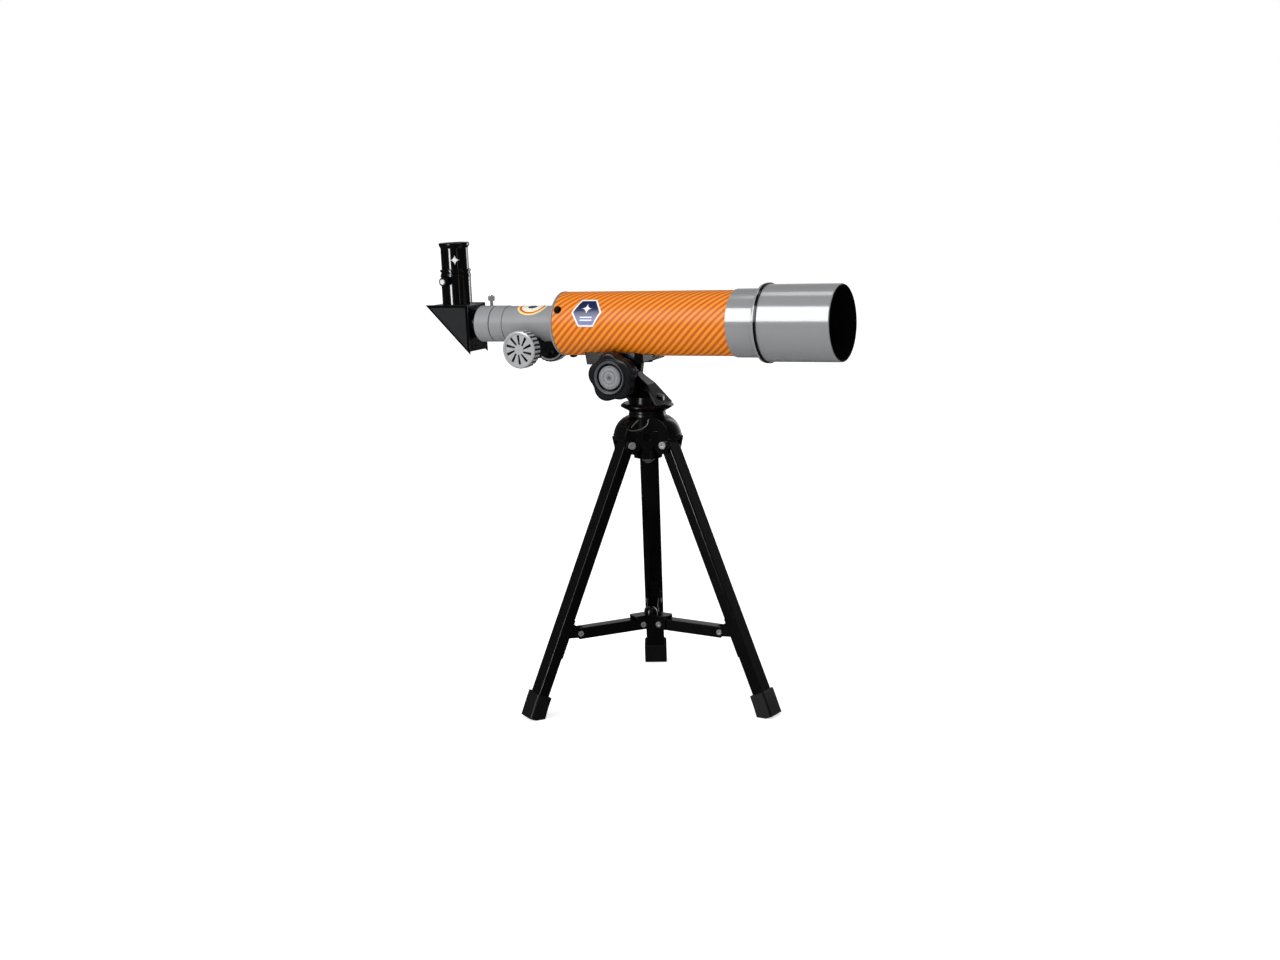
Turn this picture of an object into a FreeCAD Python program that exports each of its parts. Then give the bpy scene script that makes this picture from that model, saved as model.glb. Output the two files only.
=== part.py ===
import FreeCAD, Part
import math
import os

import Sketcher

# Table-top refracting telescope on a three-legged stand, in millimetres.
# Frame: origin on the floor under the pan axis, +Z up, +X where the telescope points.

VECTOR = FreeCAD.Vector
DOC = FreeCAD.newDocument("telescope")
SHEET = DOC.addObject("Spreadsheet::Sheet", "sizes")

# Driving dimensions, one cell each.
SIZES = {
    # optical tube: stations run along the tube from the tilt pivot, + towards the sky end
    "tube_radius": 27.0, "tube_wall": 1.2, "tube_rear": -54.1, "tube_length": 160.8,
    "cell_step": 1.1, "cell_length": 24.1, "spigot_depth": 12.0, "shield_step": 3.3,
    "shield_wall": 1.8, "shield_length": 66.3, "rim_step": 1.2, "shield_band": 1.6,
    "lens_clear": 0.8, "lens_ahead": 12.3, "lens_curve": 150.0, "baffle_bore": 19.0,
    # focuser: barrel, drawtube, rack and pinion
    "housing_length": 55.7, "housing_wall": 1.7, "plug_wall": 2.5, "collar_wall": 2.4,
    "collar_length": 13.1, "ring_length": 15.0, "drawtube_wall": 1.22, "drawtube_length": 74.0,
    "barrel_radius": 12.0, "focus_ahead": 25.0, "rack_height": 1.2, "pinion_pitch": 5.0,
    "tooth_module": 1.0, "pinion_width": 5.0, "rack_length": 66.0, "shaft_radius": 2.0,
    "wheel_radius": 16.2, "wheel_width": 11.8, "wheel_inner": 19.2,
    "gearbox_length": 20.0, "gearbox_width": 25.0, "gearbox_depth": 8.0,
    # star diagonal and eyepiece
    "nose_gap": 6.2, "eyepiece_back": 18.7, "prism_top": 17.0, "prism_side": 42.4,
    "prism_spare": 6.0, "prism_wall": 1.8, "cover_thick": 1.2, "socket_wall": 0.87,
    "socket_height": 27.5, "rib_step": 0.45, "eyepiece_height": 26.5, "barrel_depth": 20.0,
    # head: tilt pivot, arm and knob
    "tube_pitch": 1.654, "pivot_back": 20.3, "pivot_rise": 23.4, "ear_radius": 11.0,
    "tongue_width": 12.0, "ear_thick": 5.7, "bolt_radius": 3.0, "saddle_width": 28.0,
    "toe_width": 22.4, "saddle_rear": -30.1, "saddle_front": 32.6, "saddle_depth": 6.4,
    "nut_radius": 3.5, "nut_clear": 0.0626,
    "pivot_drop": 9.2, "knob_radius": 21.3, "knob_width": 13.0, "knob_stem": 3.8,
    "cap_radius": 9.8, "plate_radius": 22.3, "plate_gap": 4.6, "plate_thick": 6.4,
    "drum_radius": 15.3, "drum_height": 5.6, "arm_width": 27.6, "pan_bolt_radius": 4.0,
    # tripod: heights above the leg hinges, which set the height of all the rest
    "hinge_height": 223.4, "hinge_reach": 21.3, "dome_rise": 22.6, "dome_radius": 29.2,
    "skirt_rise": 4.2, "boss_radius": 12.0, "boss_drop": 12.9, "leg_angle": 22.78,
    "leg_heading": -4.97, "leg_width": 15.9, "leg_depth": 9.5, "leg_wall": 1.2,
    "leg_end": 4.0, "foot_height": 19.6, "foot_wall": 1.95, "lug_wall": 2.65,
    "pin_radius": 1.9, "brace_set": 15.886309398, "brace_out_height": 67.7, "brace_in": 11.3,
    "brace_drop": 0.6, "arm_height": 9.5, "brace_width": 9.6, "brace_wall": 1.0,
    "rivet_radius": 1.3,
    # fits
    "running": 0.08, "gap": 0.3,
}


class Size:
    """A length that knows both its number and the sheet expression it comes from."""

    def __init__(self, value, text):
        self.value = value
        self.text = text

    def join(self, other, sign, result):
        return Size(result, "(%s %s %s)" % (self.text, sign, as_size(other).text))

    def __add__(self, other):
        return self.join(other, "+", self.value + as_size(other).value)

    def __radd__(self, other):
        return as_size(other) + self

    def __sub__(self, other):
        return self.join(other, "-", self.value - as_size(other).value)

    def __rsub__(self, other):
        return as_size(other) - self

    def __mul__(self, other):
        return self.join(other, "*", self.value * as_size(other).value)

    def __rmul__(self, other):
        return as_size(other) * self

    def __truediv__(self, other):
        return self.join(other, "/", self.value / as_size(other).value)

    def __neg__(self):
        return as_size(0) - self


def as_size(number):
    return number if isinstance(number, Size) else Size(float(number), "(%.6f)" % number)


def sine(angle):
    return Size(math.sin(math.radians(angle.value)), "sin(%s)" % angle.text)


def cosine(angle):
    return Size(math.cos(math.radians(angle.value)), "cos(%s)" % angle.text)


class Table:
    """Writes the sheet and hands each cell out as a Size attribute."""

    def __init__(self, cells):
        for row, (name, number) in enumerate(cells.items(), start=1):
            SHEET.set("A%d" % row, name)
            SHEET.set("B%d" % row, repr(number))
            SHEET.setAlias("B%d" % row, name)
            setattr(self, name, Size(number, "sizes." + name))
        DOC.recompute()


T = Table(SIZES)


def derived(name, size):
    """Works a size out in a cell of its own, so that expressions stay short."""
    row = SHEET.getUsedRange()[1][1:]
    cell = int("".join(c for c in row if c.isdigit())) + 1
    SHEET.set("A%d" % cell, name)
    SHEET.set("B%d" % cell, "=" + size.text.replace("sizes.", ""))
    SHEET.setAlias("B%d" % cell, name)
    DOC.recompute()
    return Size(size.value, "sizes." + name)


# Lengths that several pieces share.
tube_front = T.tube_rear + T.tube_length
cell_front = tube_front + T.cell_length
shield_front = cell_front + T.shield_length
tube_bore = T.tube_radius - T.tube_wall
spigot_radius = tube_bore - T.running
cell_radius = T.tube_radius + T.cell_step
shield_radius = cell_radius + T.shield_step
shield_rim = shield_radius + T.rim_step
lens_radius = tube_bore - T.lens_clear
lens_front = tube_front + T.lens_ahead
screw_station = T.tube_rear + 5.3

housing_rear = T.tube_rear - T.housing_length
collar_groove = housing_rear - T.collar_length
collar_rear = collar_groove - T.ring_length
focus_station = housing_rear + T.focus_ahead
socket_screw_at = collar_rear + 10.2
barrel_bore = T.barrel_radius + T.running
drawtube_radius = barrel_bore + T.drawtube_wall
drawtube_front = housing_rear + T.drawtube_length
housing_bore = drawtube_radius + T.gap
housing_radius = housing_bore + T.housing_wall
collar_radius = drawtube_radius + T.collar_wall
focus_drop = drawtube_radius + T.rack_height + T.pinion_pitch
gearbox_drop = focus_drop + T.gearbox_depth

prism_front = collar_rear - T.nose_gap
prism_rear = prism_front - T.prism_side
prism_bottom = T.prism_top - T.prism_side
prism_width = 2 * T.barrel_radius + T.prism_spare
eyepiece_station = prism_front - T.eyepiece_back
socket_radius = barrel_bore + T.socket_wall
rib_radius = socket_radius + T.rib_step
socket_top = T.prism_top + T.socket_height
eyepiece_top = socket_top + T.eyepiece_height
eyepiece_screw_height = socket_top - 6.3

dome_top = T.hinge_height + T.dome_rise
dome_skirt = T.hinge_height + T.skirt_rise
boss_bottom = T.hinge_height - T.boss_drop
lug_width = T.leg_width + 2 * T.gap + 2 * T.lug_wall
plate_bottom = dome_top + T.plate_gap
plate_top = plate_bottom + T.plate_thick
drum_top = plate_top + T.drum_height
pivot_x = -T.pivot_back
pivot_height = plate_top + T.pivot_rise
saddle_drop = T.tube_radius + T.saddle_depth
axis_rise = saddle_drop + T.pivot_drop
saddle_screws_at = (T.saddle_rear + 9.0, T.saddle_front - 10.0)
nut_low = -tube_bore + T.nut_radius * T.nut_radius / (2 * tube_bore) + T.nut_clear
ear_outer = T.tongue_width / 2 + T.gap + T.ear_thick
knob_inner = ear_outer + T.gap
knob_back = knob_inner + T.knob_stem
knob_face = knob_back + T.knob_width

leg_length = (T.hinge_height - T.leg_end) / cosine(T.leg_angle)
foot_width = T.leg_width + 2 * T.foot_wall
brace_down = (T.hinge_height - T.brace_out_height) / cosine(T.leg_angle)
brace_out = T.hinge_reach + brace_down * sine(T.leg_angle) - T.brace_set
brace_in_height = T.brace_out_height - T.brace_drop
brace_low = brace_in_height - T.arm_height / 2
brace_high = brace_in_height + T.arm_height / 2
bracket_ear = T.brace_width / 2 + T.gap


# ---------------------------------------------------------------- building blocks

def new_body(label):
    body = DOC.addObject("PartDesign::Body", label)
    body.Label = label
    body.AllowCompound = True
    return body


def origin_item(body, role):
    return next(item for item in body.Origin.OriginFeatures if item.Role == role)


def new_sketch(body, plane, offset=None):
    """A sketch on one of the body's own origin planes, shifted along its normal."""
    sketch = body.newObject("Sketcher::SketchObject", "sketch")
    sketch.AttachmentSupport = [(origin_item(body, plane), "")]
    sketch.MapMode = "FlatFace"
    if offset is not None:
        offset = as_size(offset)
        sketch.AttachmentOffset = FreeCAD.Placement(VECTOR(0, 0, offset.value), FreeCAD.Rotation())
        sketch.setExpression("AttachmentOffset.Base.z", offset.text)
    return sketch


def bind(sketch, kind, geometry, position, size):
    """Fixes one coordinate of a sketch point to a size."""
    size = as_size(size)
    if size.text == "(0.000000)":
        axis = -2 if kind == "DistanceX" else -1
        sketch.addConstraint(Sketcher.Constraint("PointOnObject", geometry, position, axis))
        return
    index = sketch.addConstraint(Sketcher.Constraint(kind, -1, 1, geometry, position, size.value))
    sketch.setExpression("Constraints[%d]" % index, size.text)


def arc_between(start, end, radius):
    """Arc of signed radius: + turns left on its way from start to end, - turns right."""
    half = (end - start) * 0.5
    side = VECTOR(-half.y, half.x, 0).normalize() * math.copysign(1.0, radius)
    centre = start + half + side * math.sqrt(max(radius * radius - half.Length ** 2, 0.0))
    circle = Part.Circle(centre, VECTOR(0, 0, 1), abs(radius))
    first, last = (start, end) if radius > 0 else (end, start)
    angles = [math.atan2(p.y - centre.y, p.x - centre.x) for p in (first, last)]
    return Part.ArcOfCircle(circle, angles[0], angles[1])


def outline(sketch, points):
    """Closed loop; a point is (x, y), or (x, y, radius) when an arc leads to it."""
    base = sketch.GeometryCount
    places = [VECTOR(as_size(p[0]).value, as_size(p[1]).value, 0) for p in points]
    count = len(points)
    starts = []
    for i in range(count):
        target = points[(i + 1) % count]
        if len(target) == 3:
            radius = as_size(target[2])
            sketch.addGeometry(arc_between(places[i], places[(i + 1) % count], radius.value), False)
            starts.append(1 if radius.value > 0 else 2)
        else:
            sketch.addGeometry(Part.LineSegment(places[i], places[(i + 1) % count]), False)
            starts.append(1)
    for i in range(count):
        after = (i + 1) % count
        sketch.addConstraint(Sketcher.Constraint(
            "Coincident", base + i, 3 - starts[i], base + after, starts[after]))
    for i, point in enumerate(points):
        bind(sketch, "DistanceX", base + i, starts[i], point[0])
        bind(sketch, "DistanceY", base + i, starts[i], point[1])
        if len(points[(i + 1) % count]) == 3:
            radius = as_size(points[(i + 1) % count][2])
            size = radius if radius.value > 0 else -radius
            index = sketch.addConstraint(Sketcher.Constraint("Radius", base + i, size.value))
            sketch.setExpression("Constraints[%d]" % index, size.text)


def circle(sketch, x, y, radius):
    x, y, radius = as_size(x), as_size(y), as_size(radius)
    ring = Part.Circle(VECTOR(x.value, y.value, 0), VECTOR(0, 0, 1), radius.value)
    index = sketch.addGeometry(ring, False)
    bind(sketch, "DistanceX", index, 3, x)
    bind(sketch, "DistanceY", index, 3, y)
    size = sketch.addConstraint(Sketcher.Constraint("Radius", index, radius.value))
    sketch.setExpression("Constraints[%d]" % size, radius.text)


def draw(body, plane, shapes, offset=None):
    """Shapes are outlines (lists of points) or circles (x, y, radius)."""
    sketch = new_sketch(body, plane, offset)
    for shape in shapes:
        if isinstance(shape, tuple):
            circle(sketch, *shape)
        else:
            outline(sketch, shape)
    return sketch


def turned(body, points, plane="XZ_Plane", axis="H_Axis"):
    """Solid of revolution of one half profile."""
    sketch = draw(body, plane, [points])
    feature = body.newObject("PartDesign::Revolution", "turned")
    feature.Profile = sketch
    feature.ReferenceAxis = (sketch, [axis])
    feature.Angle = 360
    return feature


def sized(feature, length):
    length = as_size(length)
    feature.Length = length.value
    feature.setExpression("Length", length.text)
    return feature


def pad(body, plane, shapes, length, offset=None, both=True):
    """Extrudes shapes, half to each side of the plane when both is set."""
    feature = body.newObject("PartDesign::Pad", "pad")
    feature.Profile = draw(body, plane, shapes, offset)
    feature.SideType = "Symmetric" if both else "One side"
    return sized(feature, length)


def pocket(body, plane, shapes, length, offset=None, both=True):
    """Cuts shapes, half to each side, or towards the back of the plane only."""
    DOC.recompute()
    before = body.Shape.Volume
    feature = body.newObject("PartDesign::Pocket", "pocket")
    feature.Profile = draw(body, plane, shapes, offset)
    feature.SideType = "Symmetric" if both else "One side"
    sized(feature, length)
    DOC.recompute()
    assert body.Shape.Volume < before - 0.01, "pocket cuts nothing in " + body.Label
    return feature


def around(body, features, axis, count):
    """Repeats features evenly about one of the body's axes."""
    feature = body.newObject("PartDesign::PolarPattern", "around")
    feature.Originals = features
    feature.Axis = (origin_item(body, axis), [""])
    feature.Angle = 360
    feature.Occurrences = count
    body.Tip = feature
    return feature


def soften(body, radius, wanted, kind="PartDesign::Fillet"):
    """Fillets the edges that the rule picks, by a number or a size."""
    DOC.recompute()
    base = body.Tip
    names = ["Edge%d" % (i + 1) for i, edge in enumerate(base.Shape.Edges) if wanted(edge)]
    assert names, "no edge to soften in " + body.Label
    feature = body.newObject(kind, "soften")
    feature.Base = (base, names)
    if kind.endswith("Fillet"):
        feature.Radius = radius
    else:
        feature.Size = radius
    return feature


def is_ring(edge, radius, tolerance=0.02):
    curve = edge.Curve
    return isinstance(curve, Part.Circle) and abs(curve.Radius - as_size(radius).value) < tolerance


def pose(item, x, z, y=0, angle=None, axis=VECTOR(0, 1, 0)):
    """Places a sub-part by bound coordinates and one bound turn."""
    x, y, z = as_size(x), as_size(y), as_size(z)
    angle = as_size(0 if angle is None else angle)
    base = VECTOR(x.value, y.value, z.value)
    item.Placement = FreeCAD.Placement(base, FreeCAD.Rotation(axis, angle.value))
    for name, size in (("x", x), ("y", y), ("z", z)):
        item.setExpression("Placement.Base." + name, size.text)
    if abs(angle.value) > 1e-9:
        item.setExpression("Placement.Rotation.Angle", angle.text)


def on_tube(item, along=0, above=0, beside=0):
    """Places a sub-part drawn about the tube's axis, which is pitched up at the pivot."""
    along, above = as_size(along), as_size(above)
    rise = axis_rise + above
    x = pivot_x + along * cosine(T.tube_pitch) - rise * sine(T.tube_pitch)
    z = pivot_height + along * sine(T.tube_pitch) + rise * cosine(T.tube_pitch)
    pose(item, x, z, beside, T.tube_pitch, VECTOR(0, -1, 0))


def on_leg_side(item, number):
    """Turns a sub-part drawn for the +X direction to leg 1, 2 or 3."""
    pose(item, 0, 0, 0, T.leg_heading + 120.0 * number, VECTOR(0, 0, 1))


def leg_point(down, out, radius=None):
    """A point in a leg's side view, down the leg from its hinge and outwards from it."""
    x = T.hinge_reach + down * sine(T.leg_angle) + out * cosine(T.leg_angle)
    z = T.hinge_height - down * cosine(T.leg_angle) + out * sine(T.leg_angle)
    return (x, z) if radius is None else (x, z, radius)


def box_outline(x0, x1, y0, y1):
    return [(x0, y0), (x1, y0), (x1, y1), (x0, y1)]


# ---------------------------------------------------------------- optical tube

def main_tube():
    """Rolled tube with three screw holes behind and two under it for the saddle."""
    body = new_body("main_tube")
    turned(body, [(T.tube_rear, tube_bore), (tube_front, tube_bore),
                  (tube_front, T.tube_radius), (T.tube_rear, T.tube_radius)])
    hole = pocket(body, "XY_Plane", [(screw_station, 0, 1.55)], 2 * T.tube_radius, both=False)
    around(body, [hole], "X_Axis", 3)
    pocket(body, "XY_Plane", [(x, 0, 2.05) for x in saddle_screws_at], 2 * T.tube_radius, both=False)
    on_tube(body)


def focuser_housing():
    """Plug, end ring and barrel in one moulding, with a slot under it for the rack."""
    body = new_body("focuser_housing")
    ring = T.tube_rear - 1.4
    cup = spigot_radius - T.plug_wall
    depth = T.tube_rear + T.spigot_depth
    turned(body, [(housing_rear, housing_bore), (housing_rear, housing_radius),
                  (ring, housing_radius), (ring, T.tube_radius + 0.25),
                  (T.tube_rear, T.tube_radius + 0.25), (T.tube_rear, spigot_radius),
                  (depth, spigot_radius), (depth, cup), (T.tube_rear + 1.8, cup),
                  (T.tube_rear + 1.8, housing_radius), (depth, housing_radius),
                  (depth, housing_bore)])
    hole = pocket(body, "XY_Plane", [(screw_station, 0, 1.3)], 2 * T.tube_radius, both=False)
    around(body, [hole], "X_Axis", 3)
    slot_half = T.pinion_width / 2 + 0.5
    pocket(body, "XY_Plane", [box_outline(housing_rear - 1, depth + 1, -slot_half, slot_half)],
           housing_radius + 0.4, both=False)
    on_tube(body)


def tube_screws():
    """Three pan-head screws through the tube into the plug."""
    body = new_body("tube_screws")
    turned(body, [(0, 4.2 - T.tube_radius), (0, -T.tube_radius - 1.9), (1.6, -T.tube_radius - 1.9),
                  (3.1, -T.tube_radius - 1.1), (3.4, -T.tube_radius - 0.05),
                  (1.25, -T.tube_radius - 0.05), (1.25, 4.2 - T.tube_radius)], axis="V_Axis")
    around(body, [body.Tip], "X_Axis", 3)
    on_tube(body, screw_station)


def objective_cell():
    """Lens cell: spigot in the tube, body, and a neck that the dew shield grips."""
    body = new_body("objective_cell")
    neck = shield_radius - T.shield_wall
    rear = tube_front - T.spigot_depth
    seat = lens_front - 9.0
    turned(body, [(rear, spigot_radius - 2.2), (rear, spigot_radius), (tube_front, spigot_radius),
                  (tube_front, cell_radius), (cell_front, cell_radius), (cell_front, neck),
                  (cell_front + 8.0, neck), (cell_front + 8.0, lens_radius + 0.3),
                  (seat, lens_radius + 0.3), (seat, lens_radius - 1.4),
                  (seat - 2.0, lens_radius - 1.4), (tube_front, spigot_radius - 2.2)])
    on_tube(body)


def lens(label, back, front, back_curve, front_curve):
    """Lens element; a curve is signed, and 0 means a flat face."""
    body = new_body(label)
    edge = lens_radius
    sag = edge * edge / (2 * T.lens_curve)
    rear_mid = back - sag if back_curve else back
    front_mid = front + sag if front_curve else front
    points = [(rear_mid, 0)]
    if back_curve:
        points.append((back, edge, -(edge * edge + sag * sag) / (2 * sag)))
    else:
        points.append((back, edge))
    points.append((front, edge))
    if front_curve:
        points.append((front_mid, 0, -(edge * edge + sag * sag) / (2 * sag)))
    else:
        points.append((front_mid, 0))
    turned(body, points)
    on_tube(body)


def objective_lenses():
    """Flint behind, crown in front, a thin spacer between them and a retaining ring."""
    seat = lens_front - 9.0
    flint_front = seat + 3.0
    spacer = 2.4
    lens("flint_lens", seat + 0.05, flint_front, False, False)
    lens("crown_lens", flint_front + spacer + 0.25, lens_front, True, True)
    body = new_body("lens_spacer")
    turned(body, [(flint_front, lens_radius - 1.2), (flint_front + spacer, lens_radius - 1.2),
                  (flint_front + spacer, lens_radius), (flint_front, lens_radius)])
    on_tube(body)
    body = new_body("lens_retainer")
    back = lens_front + 0.35
    turned(body, [(back, lens_radius - 1.5), (back + 3.0, lens_radius - 1.0),
                  (back + 3.0, lens_radius + 0.25), (back, lens_radius + 0.25)])
    on_tube(body)


def dew_shield():
    """Sleeve pushed over the cell's neck, with a raised rim at its back edge."""
    body = new_body("dew_shield")
    inner = shield_radius - T.shield_wall
    rear = cell_front + T.shield_band
    turned(body, [(rear, inner), (shield_front, inner), (shield_front, shield_radius),
                  (rear + 3.0, shield_radius), (rear + 2.6, shield_rim), (rear, shield_rim)])
    soften(body, 0.6, lambda edge: is_ring(edge, shield_radius) and edge.CenterOfMass.x > rear.value + 9)
    on_tube(body)
    body = new_body("dew_shield_band")
    turned(body, [(cell_front, inner), (rear, inner), (rear, shield_rim - 0.3),
                  (cell_front, shield_rim - 0.5)])
    on_tube(body)


def light_baffles():
    """Two rings pressed into the tube to stop stray light."""
    body = new_body("light_baffles")
    for station in (-8.0, 52.0):
        outer = tube_bore - T.running
        turned(body, [(station, T.baffle_bore), (station + 1.0, T.baffle_bore), (station + 1.0, outer - 1),
                      (station + 5.0, outer - 1), (station + 5.0, outer), (station, outer)])
    on_tube(body)


# ---------------------------------------------------------------- focuser

def drawtube():
    """Sliding tube with a thick collar behind, a neck for the socket ring and a rack flat."""
    body = new_body("drawtube")
    collar_front = housing_rear - T.gap
    neck_rear = collar_rear + 1.6
    socket_front = collar_rear + 27.0
    rack_flat = drawtube_radius - 0.45
    turned(body, [(neck_rear, barrel_bore), (neck_rear, drawtube_radius + 0.5),
                  (collar_groove, drawtube_radius + 0.5), (collar_groove, collar_radius - 0.5),
                  (collar_groove + 0.7, collar_radius), (collar_front, collar_radius),
                  (collar_front, drawtube_radius), (drawtube_front, drawtube_radius),
                  (drawtube_front, T.barrel_radius - 0.5), (socket_front, T.barrel_radius - 0.5),
                  (socket_front, barrel_bore)])
    pocket(body, "XZ_Plane", [box_outline(collar_front, drawtube_front + 1, -drawtube_radius - 1,
                                          -rack_flat)], 2 * drawtube_radius)
    pocket(body, "XY_Plane", [(socket_screw_at, 0, 1.5)], 2 * collar_radius, offset=30, both=False)
    on_tube(body)


def socket_ring():
    """Ring screwed on the drawtube's neck; its set screw clamps the diagonal."""
    body = new_body("socket_ring")
    front = collar_groove - 0.5
    turned(body, [(collar_rear, barrel_bore), (collar_rear, collar_radius - 0.5),
                  (collar_rear + 0.6, collar_radius), (front, collar_radius),
                  (front, drawtube_radius + 0.55), (collar_rear + 1.6, drawtube_radius + 0.55),
                  (collar_rear + 1.6, barrel_bore)])
    pocket(body, "XY_Plane", [(socket_screw_at, 0, 1.5)], 30, offset=30, both=False)
    on_tube(body)


def focus_rack():
    """Straight rack under the drawtube, its teeth cut square to the slide."""
    body = new_body("focus_rack")
    top = -drawtube_radius + 0.45
    pitch_line = -focus_drop + T.pinion_pitch
    root = pitch_line + T.tooth_module
    rear = housing_rear + 1.2
    pad(body, "XZ_Plane", [box_outline(rear, rear + T.rack_length, root, top)], T.pinion_width)
    pitch = T.tooth_module * math.pi
    teeth = int((T.rack_length / pitch).value - 0.5)
    for number in range(teeth):
        offset = number - int((focus_station - rear).value / pitch.value)
        middle = focus_station + pitch * offset + pitch / 2
        if middle.value + 1.2 > (rear + T.rack_length).value or middle.value - 1.2 < rear.value:
            continue
        foot, tip = T.tooth_module * 0.95, T.tooth_module * 0.32
        pad(body, "XZ_Plane", [[(middle - foot, root + 0.02), (middle + foot, root + 0.02),
                                (middle + tip, pitch_line - 0.8 * T.tooth_module),
                                (middle - tip, pitch_line - 0.8 * T.tooth_module)]], T.pinion_width)
    on_tube(body)


def pinion():
    """Ten-tooth pinion, one tooth space facing the rack's tooth straight above it."""
    body = new_body("pinion")
    root = T.pinion_pitch - 1.15 * T.tooth_module
    tip = T.pinion_pitch + 0.8 * T.tooth_module
    pad(body, "XZ_Plane", [(0, 0, root), (0, 0, T.shaft_radius + 0.02)], T.pinion_width)
    foot, crest = T.tooth_module * 0.88, T.tooth_module * 0.26
    tooth = pad(body, "XZ_Plane", [[(-foot, root - 0.3), (foot, root - 0.3), (crest, tip),
                                    (-crest, tip)]], T.pinion_width)
    around(body, [tooth], "Y_Axis", 10)
    on_tube(body, focus_station, -focus_drop)


def focus_shaft():
    """Shaft through the gearbox and both wheels."""
    body = new_body("focus_shaft")
    reach = T.wheel_inner + 8.0
    turned(body, [(-reach, 0), (reach, 0), (reach, T.shaft_radius), (-reach, T.shaft_radius)],
           plane="YZ_Plane")
    on_tube(body, focus_station, -focus_drop)


def focus_wheel(label, side):
    """Ribbed hand wheel with ten slanting recesses in its face; side is -1 or 1."""
    body = new_body(label)
    inner, outer = T.wheel_inner, T.wheel_inner + T.wheel_width
    ring = T.wheel_radius
    profile = [(inner, T.shaft_radius), (inner, 7.0), (inner + 2.0, 7.0), (inner + 2.0, ring - 1.2),
               (inner + 2.8, ring), (outer - 1.6, ring), (outer - 0.5, ring - 0.6),
               (outer, ring - 1.6), (outer, ring - 2.6), (outer - 0.8, ring - 3.2), (outer - 0.8, 0),
               (inner + 8.5, 0), (inner + 8.5, T.shaft_radius)]
    turned(body, [(side * p[0], p[1]) for p in profile], plane="YZ_Plane")
    rib = pocket(body, "XZ_Plane", [(ring + 1.0, 0, 1.55)], 2 * (outer + 1))
    around(body, [rib], "Y_Axis", 26)
    slot = [(4.4, 0.1), (ring - 4.0, 3.0), (ring - 5.0, 5.2), (4.2, 1.5)]
    recess = pocket(body, "XZ_Plane", [slot], 2.4 * 2, offset=-side * outer)
    around(body, [recess], "Y_Axis", 10)
    on_tube(body, focus_station, -focus_drop)


def gearbox():
    """Bearing block that hangs the pinion shaft under the barrel."""
    body = new_body("gearbox")
    half, wide = T.gearbox_length / 2, T.gearbox_width
    drop = focus_drop
    low = drop - gearbox_drop
    pad(body, "XZ_Plane", [[(-half, drop - 11.0), (-half, low + 2.5), (-half + 2.5, low),
                            (half - 2.5, low), (half, low + 2.5), (half, drop - 11.0)]], wide)
    pocket(body, "YZ_Plane", [(0, drop, housing_radius + T.running)], 2 * T.gearbox_length)
    pocket(body, "XZ_Plane", [[(-7.0, drop), (-7.0, -5.0), (-5.0, -6.6), (5.0, -6.6), (7.0, -5.0),
                               (7.0, drop)]], T.pinion_width + 2.0)
    pocket(body, "XZ_Plane", [box_outline(-half - 1, half + 1, drop - housing_radius - 0.5, drop)],
           T.pinion_width + 1.0)
    pocket(body, "XZ_Plane", [(0, 0, T.shaft_radius + T.running)], 2 * wide)
    on_tube(body, focus_station, -drop)


def gearbox_screws():
    """Two screws that pull the block up against the barrel."""
    body = new_body("gearbox_screws")
    low = gearbox_drop
    for x in (-7.6, 7.6):
        for y in (-9.3, 9.3):
            pad(body, "XY_Plane", [(x, y, 1.9)], 1.2, offset=-low - 1.2, both=False)
    on_tube(body, focus_station)


# ---------------------------------------------------------------- diagonal and eyepiece

def diagonal_body():
    """Hollow right-angle prism box with a nose tube ahead and an eyepiece socket on top."""
    body = new_body("diagonal_body")
    wall = T.prism_wall
    wide = prism_width - 2 * T.cover_thick
    front, top = prism_front, T.prism_top
    slant = 2.2
    corners = [(prism_rear + slant, top), (front, top), (front, prism_bottom + slant)]
    pad(body, "XZ_Plane", [corners], wide)
    pad(body, "YZ_Plane", [(0, 0, T.barrel_radius)], 25.0, offset=front, both=False)
    pad(body, "XY_Plane", [(eyepiece_station, 0, socket_radius)], socket_top - top,
        offset=top, both=False)
    pad(body, "XY_Plane", [(eyepiece_station, 0, rib_radius)], 1.6,
        offset=socket_top - 2.9, both=False)
    inner = [(prism_rear + slant + wall - 1, top - wall), (front - wall, top - wall),
             (front - wall, prism_bottom + slant + wall - 1)]
    pocket(body, "XZ_Plane", [inner], wide - 2 * wall)
    pocket(body, "YZ_Plane", [(0, 0, T.barrel_radius - 1.4)], 32.0, offset=front + 27.0, both=False)
    pocket(body, "XY_Plane", [(eyepiece_station, 0, barrel_bore)], socket_top - top + 3 * wall,
           offset=socket_top + 0.5, both=False)
    pocket(body, "XZ_Plane", [(eyepiece_station, eyepiece_screw_height, 1.5)], 2 * rib_radius,
           both=False, offset=2 * rib_radius)
    soften(body, 1.2, lambda edge: abs(edge.CenterOfMass.x - front.value) < 0.01
           and abs(edge.CenterOfMass.z - top.value) < 0.01 and edge.Length > 20)
    on_tube(body)


def diagonal_covers():
    """Raised-edge triangular covers on both sides of the prism box."""
    body = new_body("diagonal_side_covers")
    half = prism_width / 2
    front, top = prism_front + 0.4, T.prism_top + 0.6
    rear, bottom = prism_rear, prism_bottom
    rim = 2.2
    panel = [(rear + 2.42 * rim, top - rim), (front - rim, top - rim), (front - rim, bottom + 2.42 * rim)]
    for side in (-1, 1):
        place = half - T.cover_thick if side < 0 else -half
        pad(body, "XZ_Plane", [[(rear, top), (front, top), (front, bottom)]], T.cover_thick,
            offset=place, both=False)
    for side in (-1, 1):
        depth = half + 1 if side < 0 else -half + 0.5
        pocket(body, "XZ_Plane", [panel], 1.5, offset=depth, both=False)
    on_tube(body)


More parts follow.
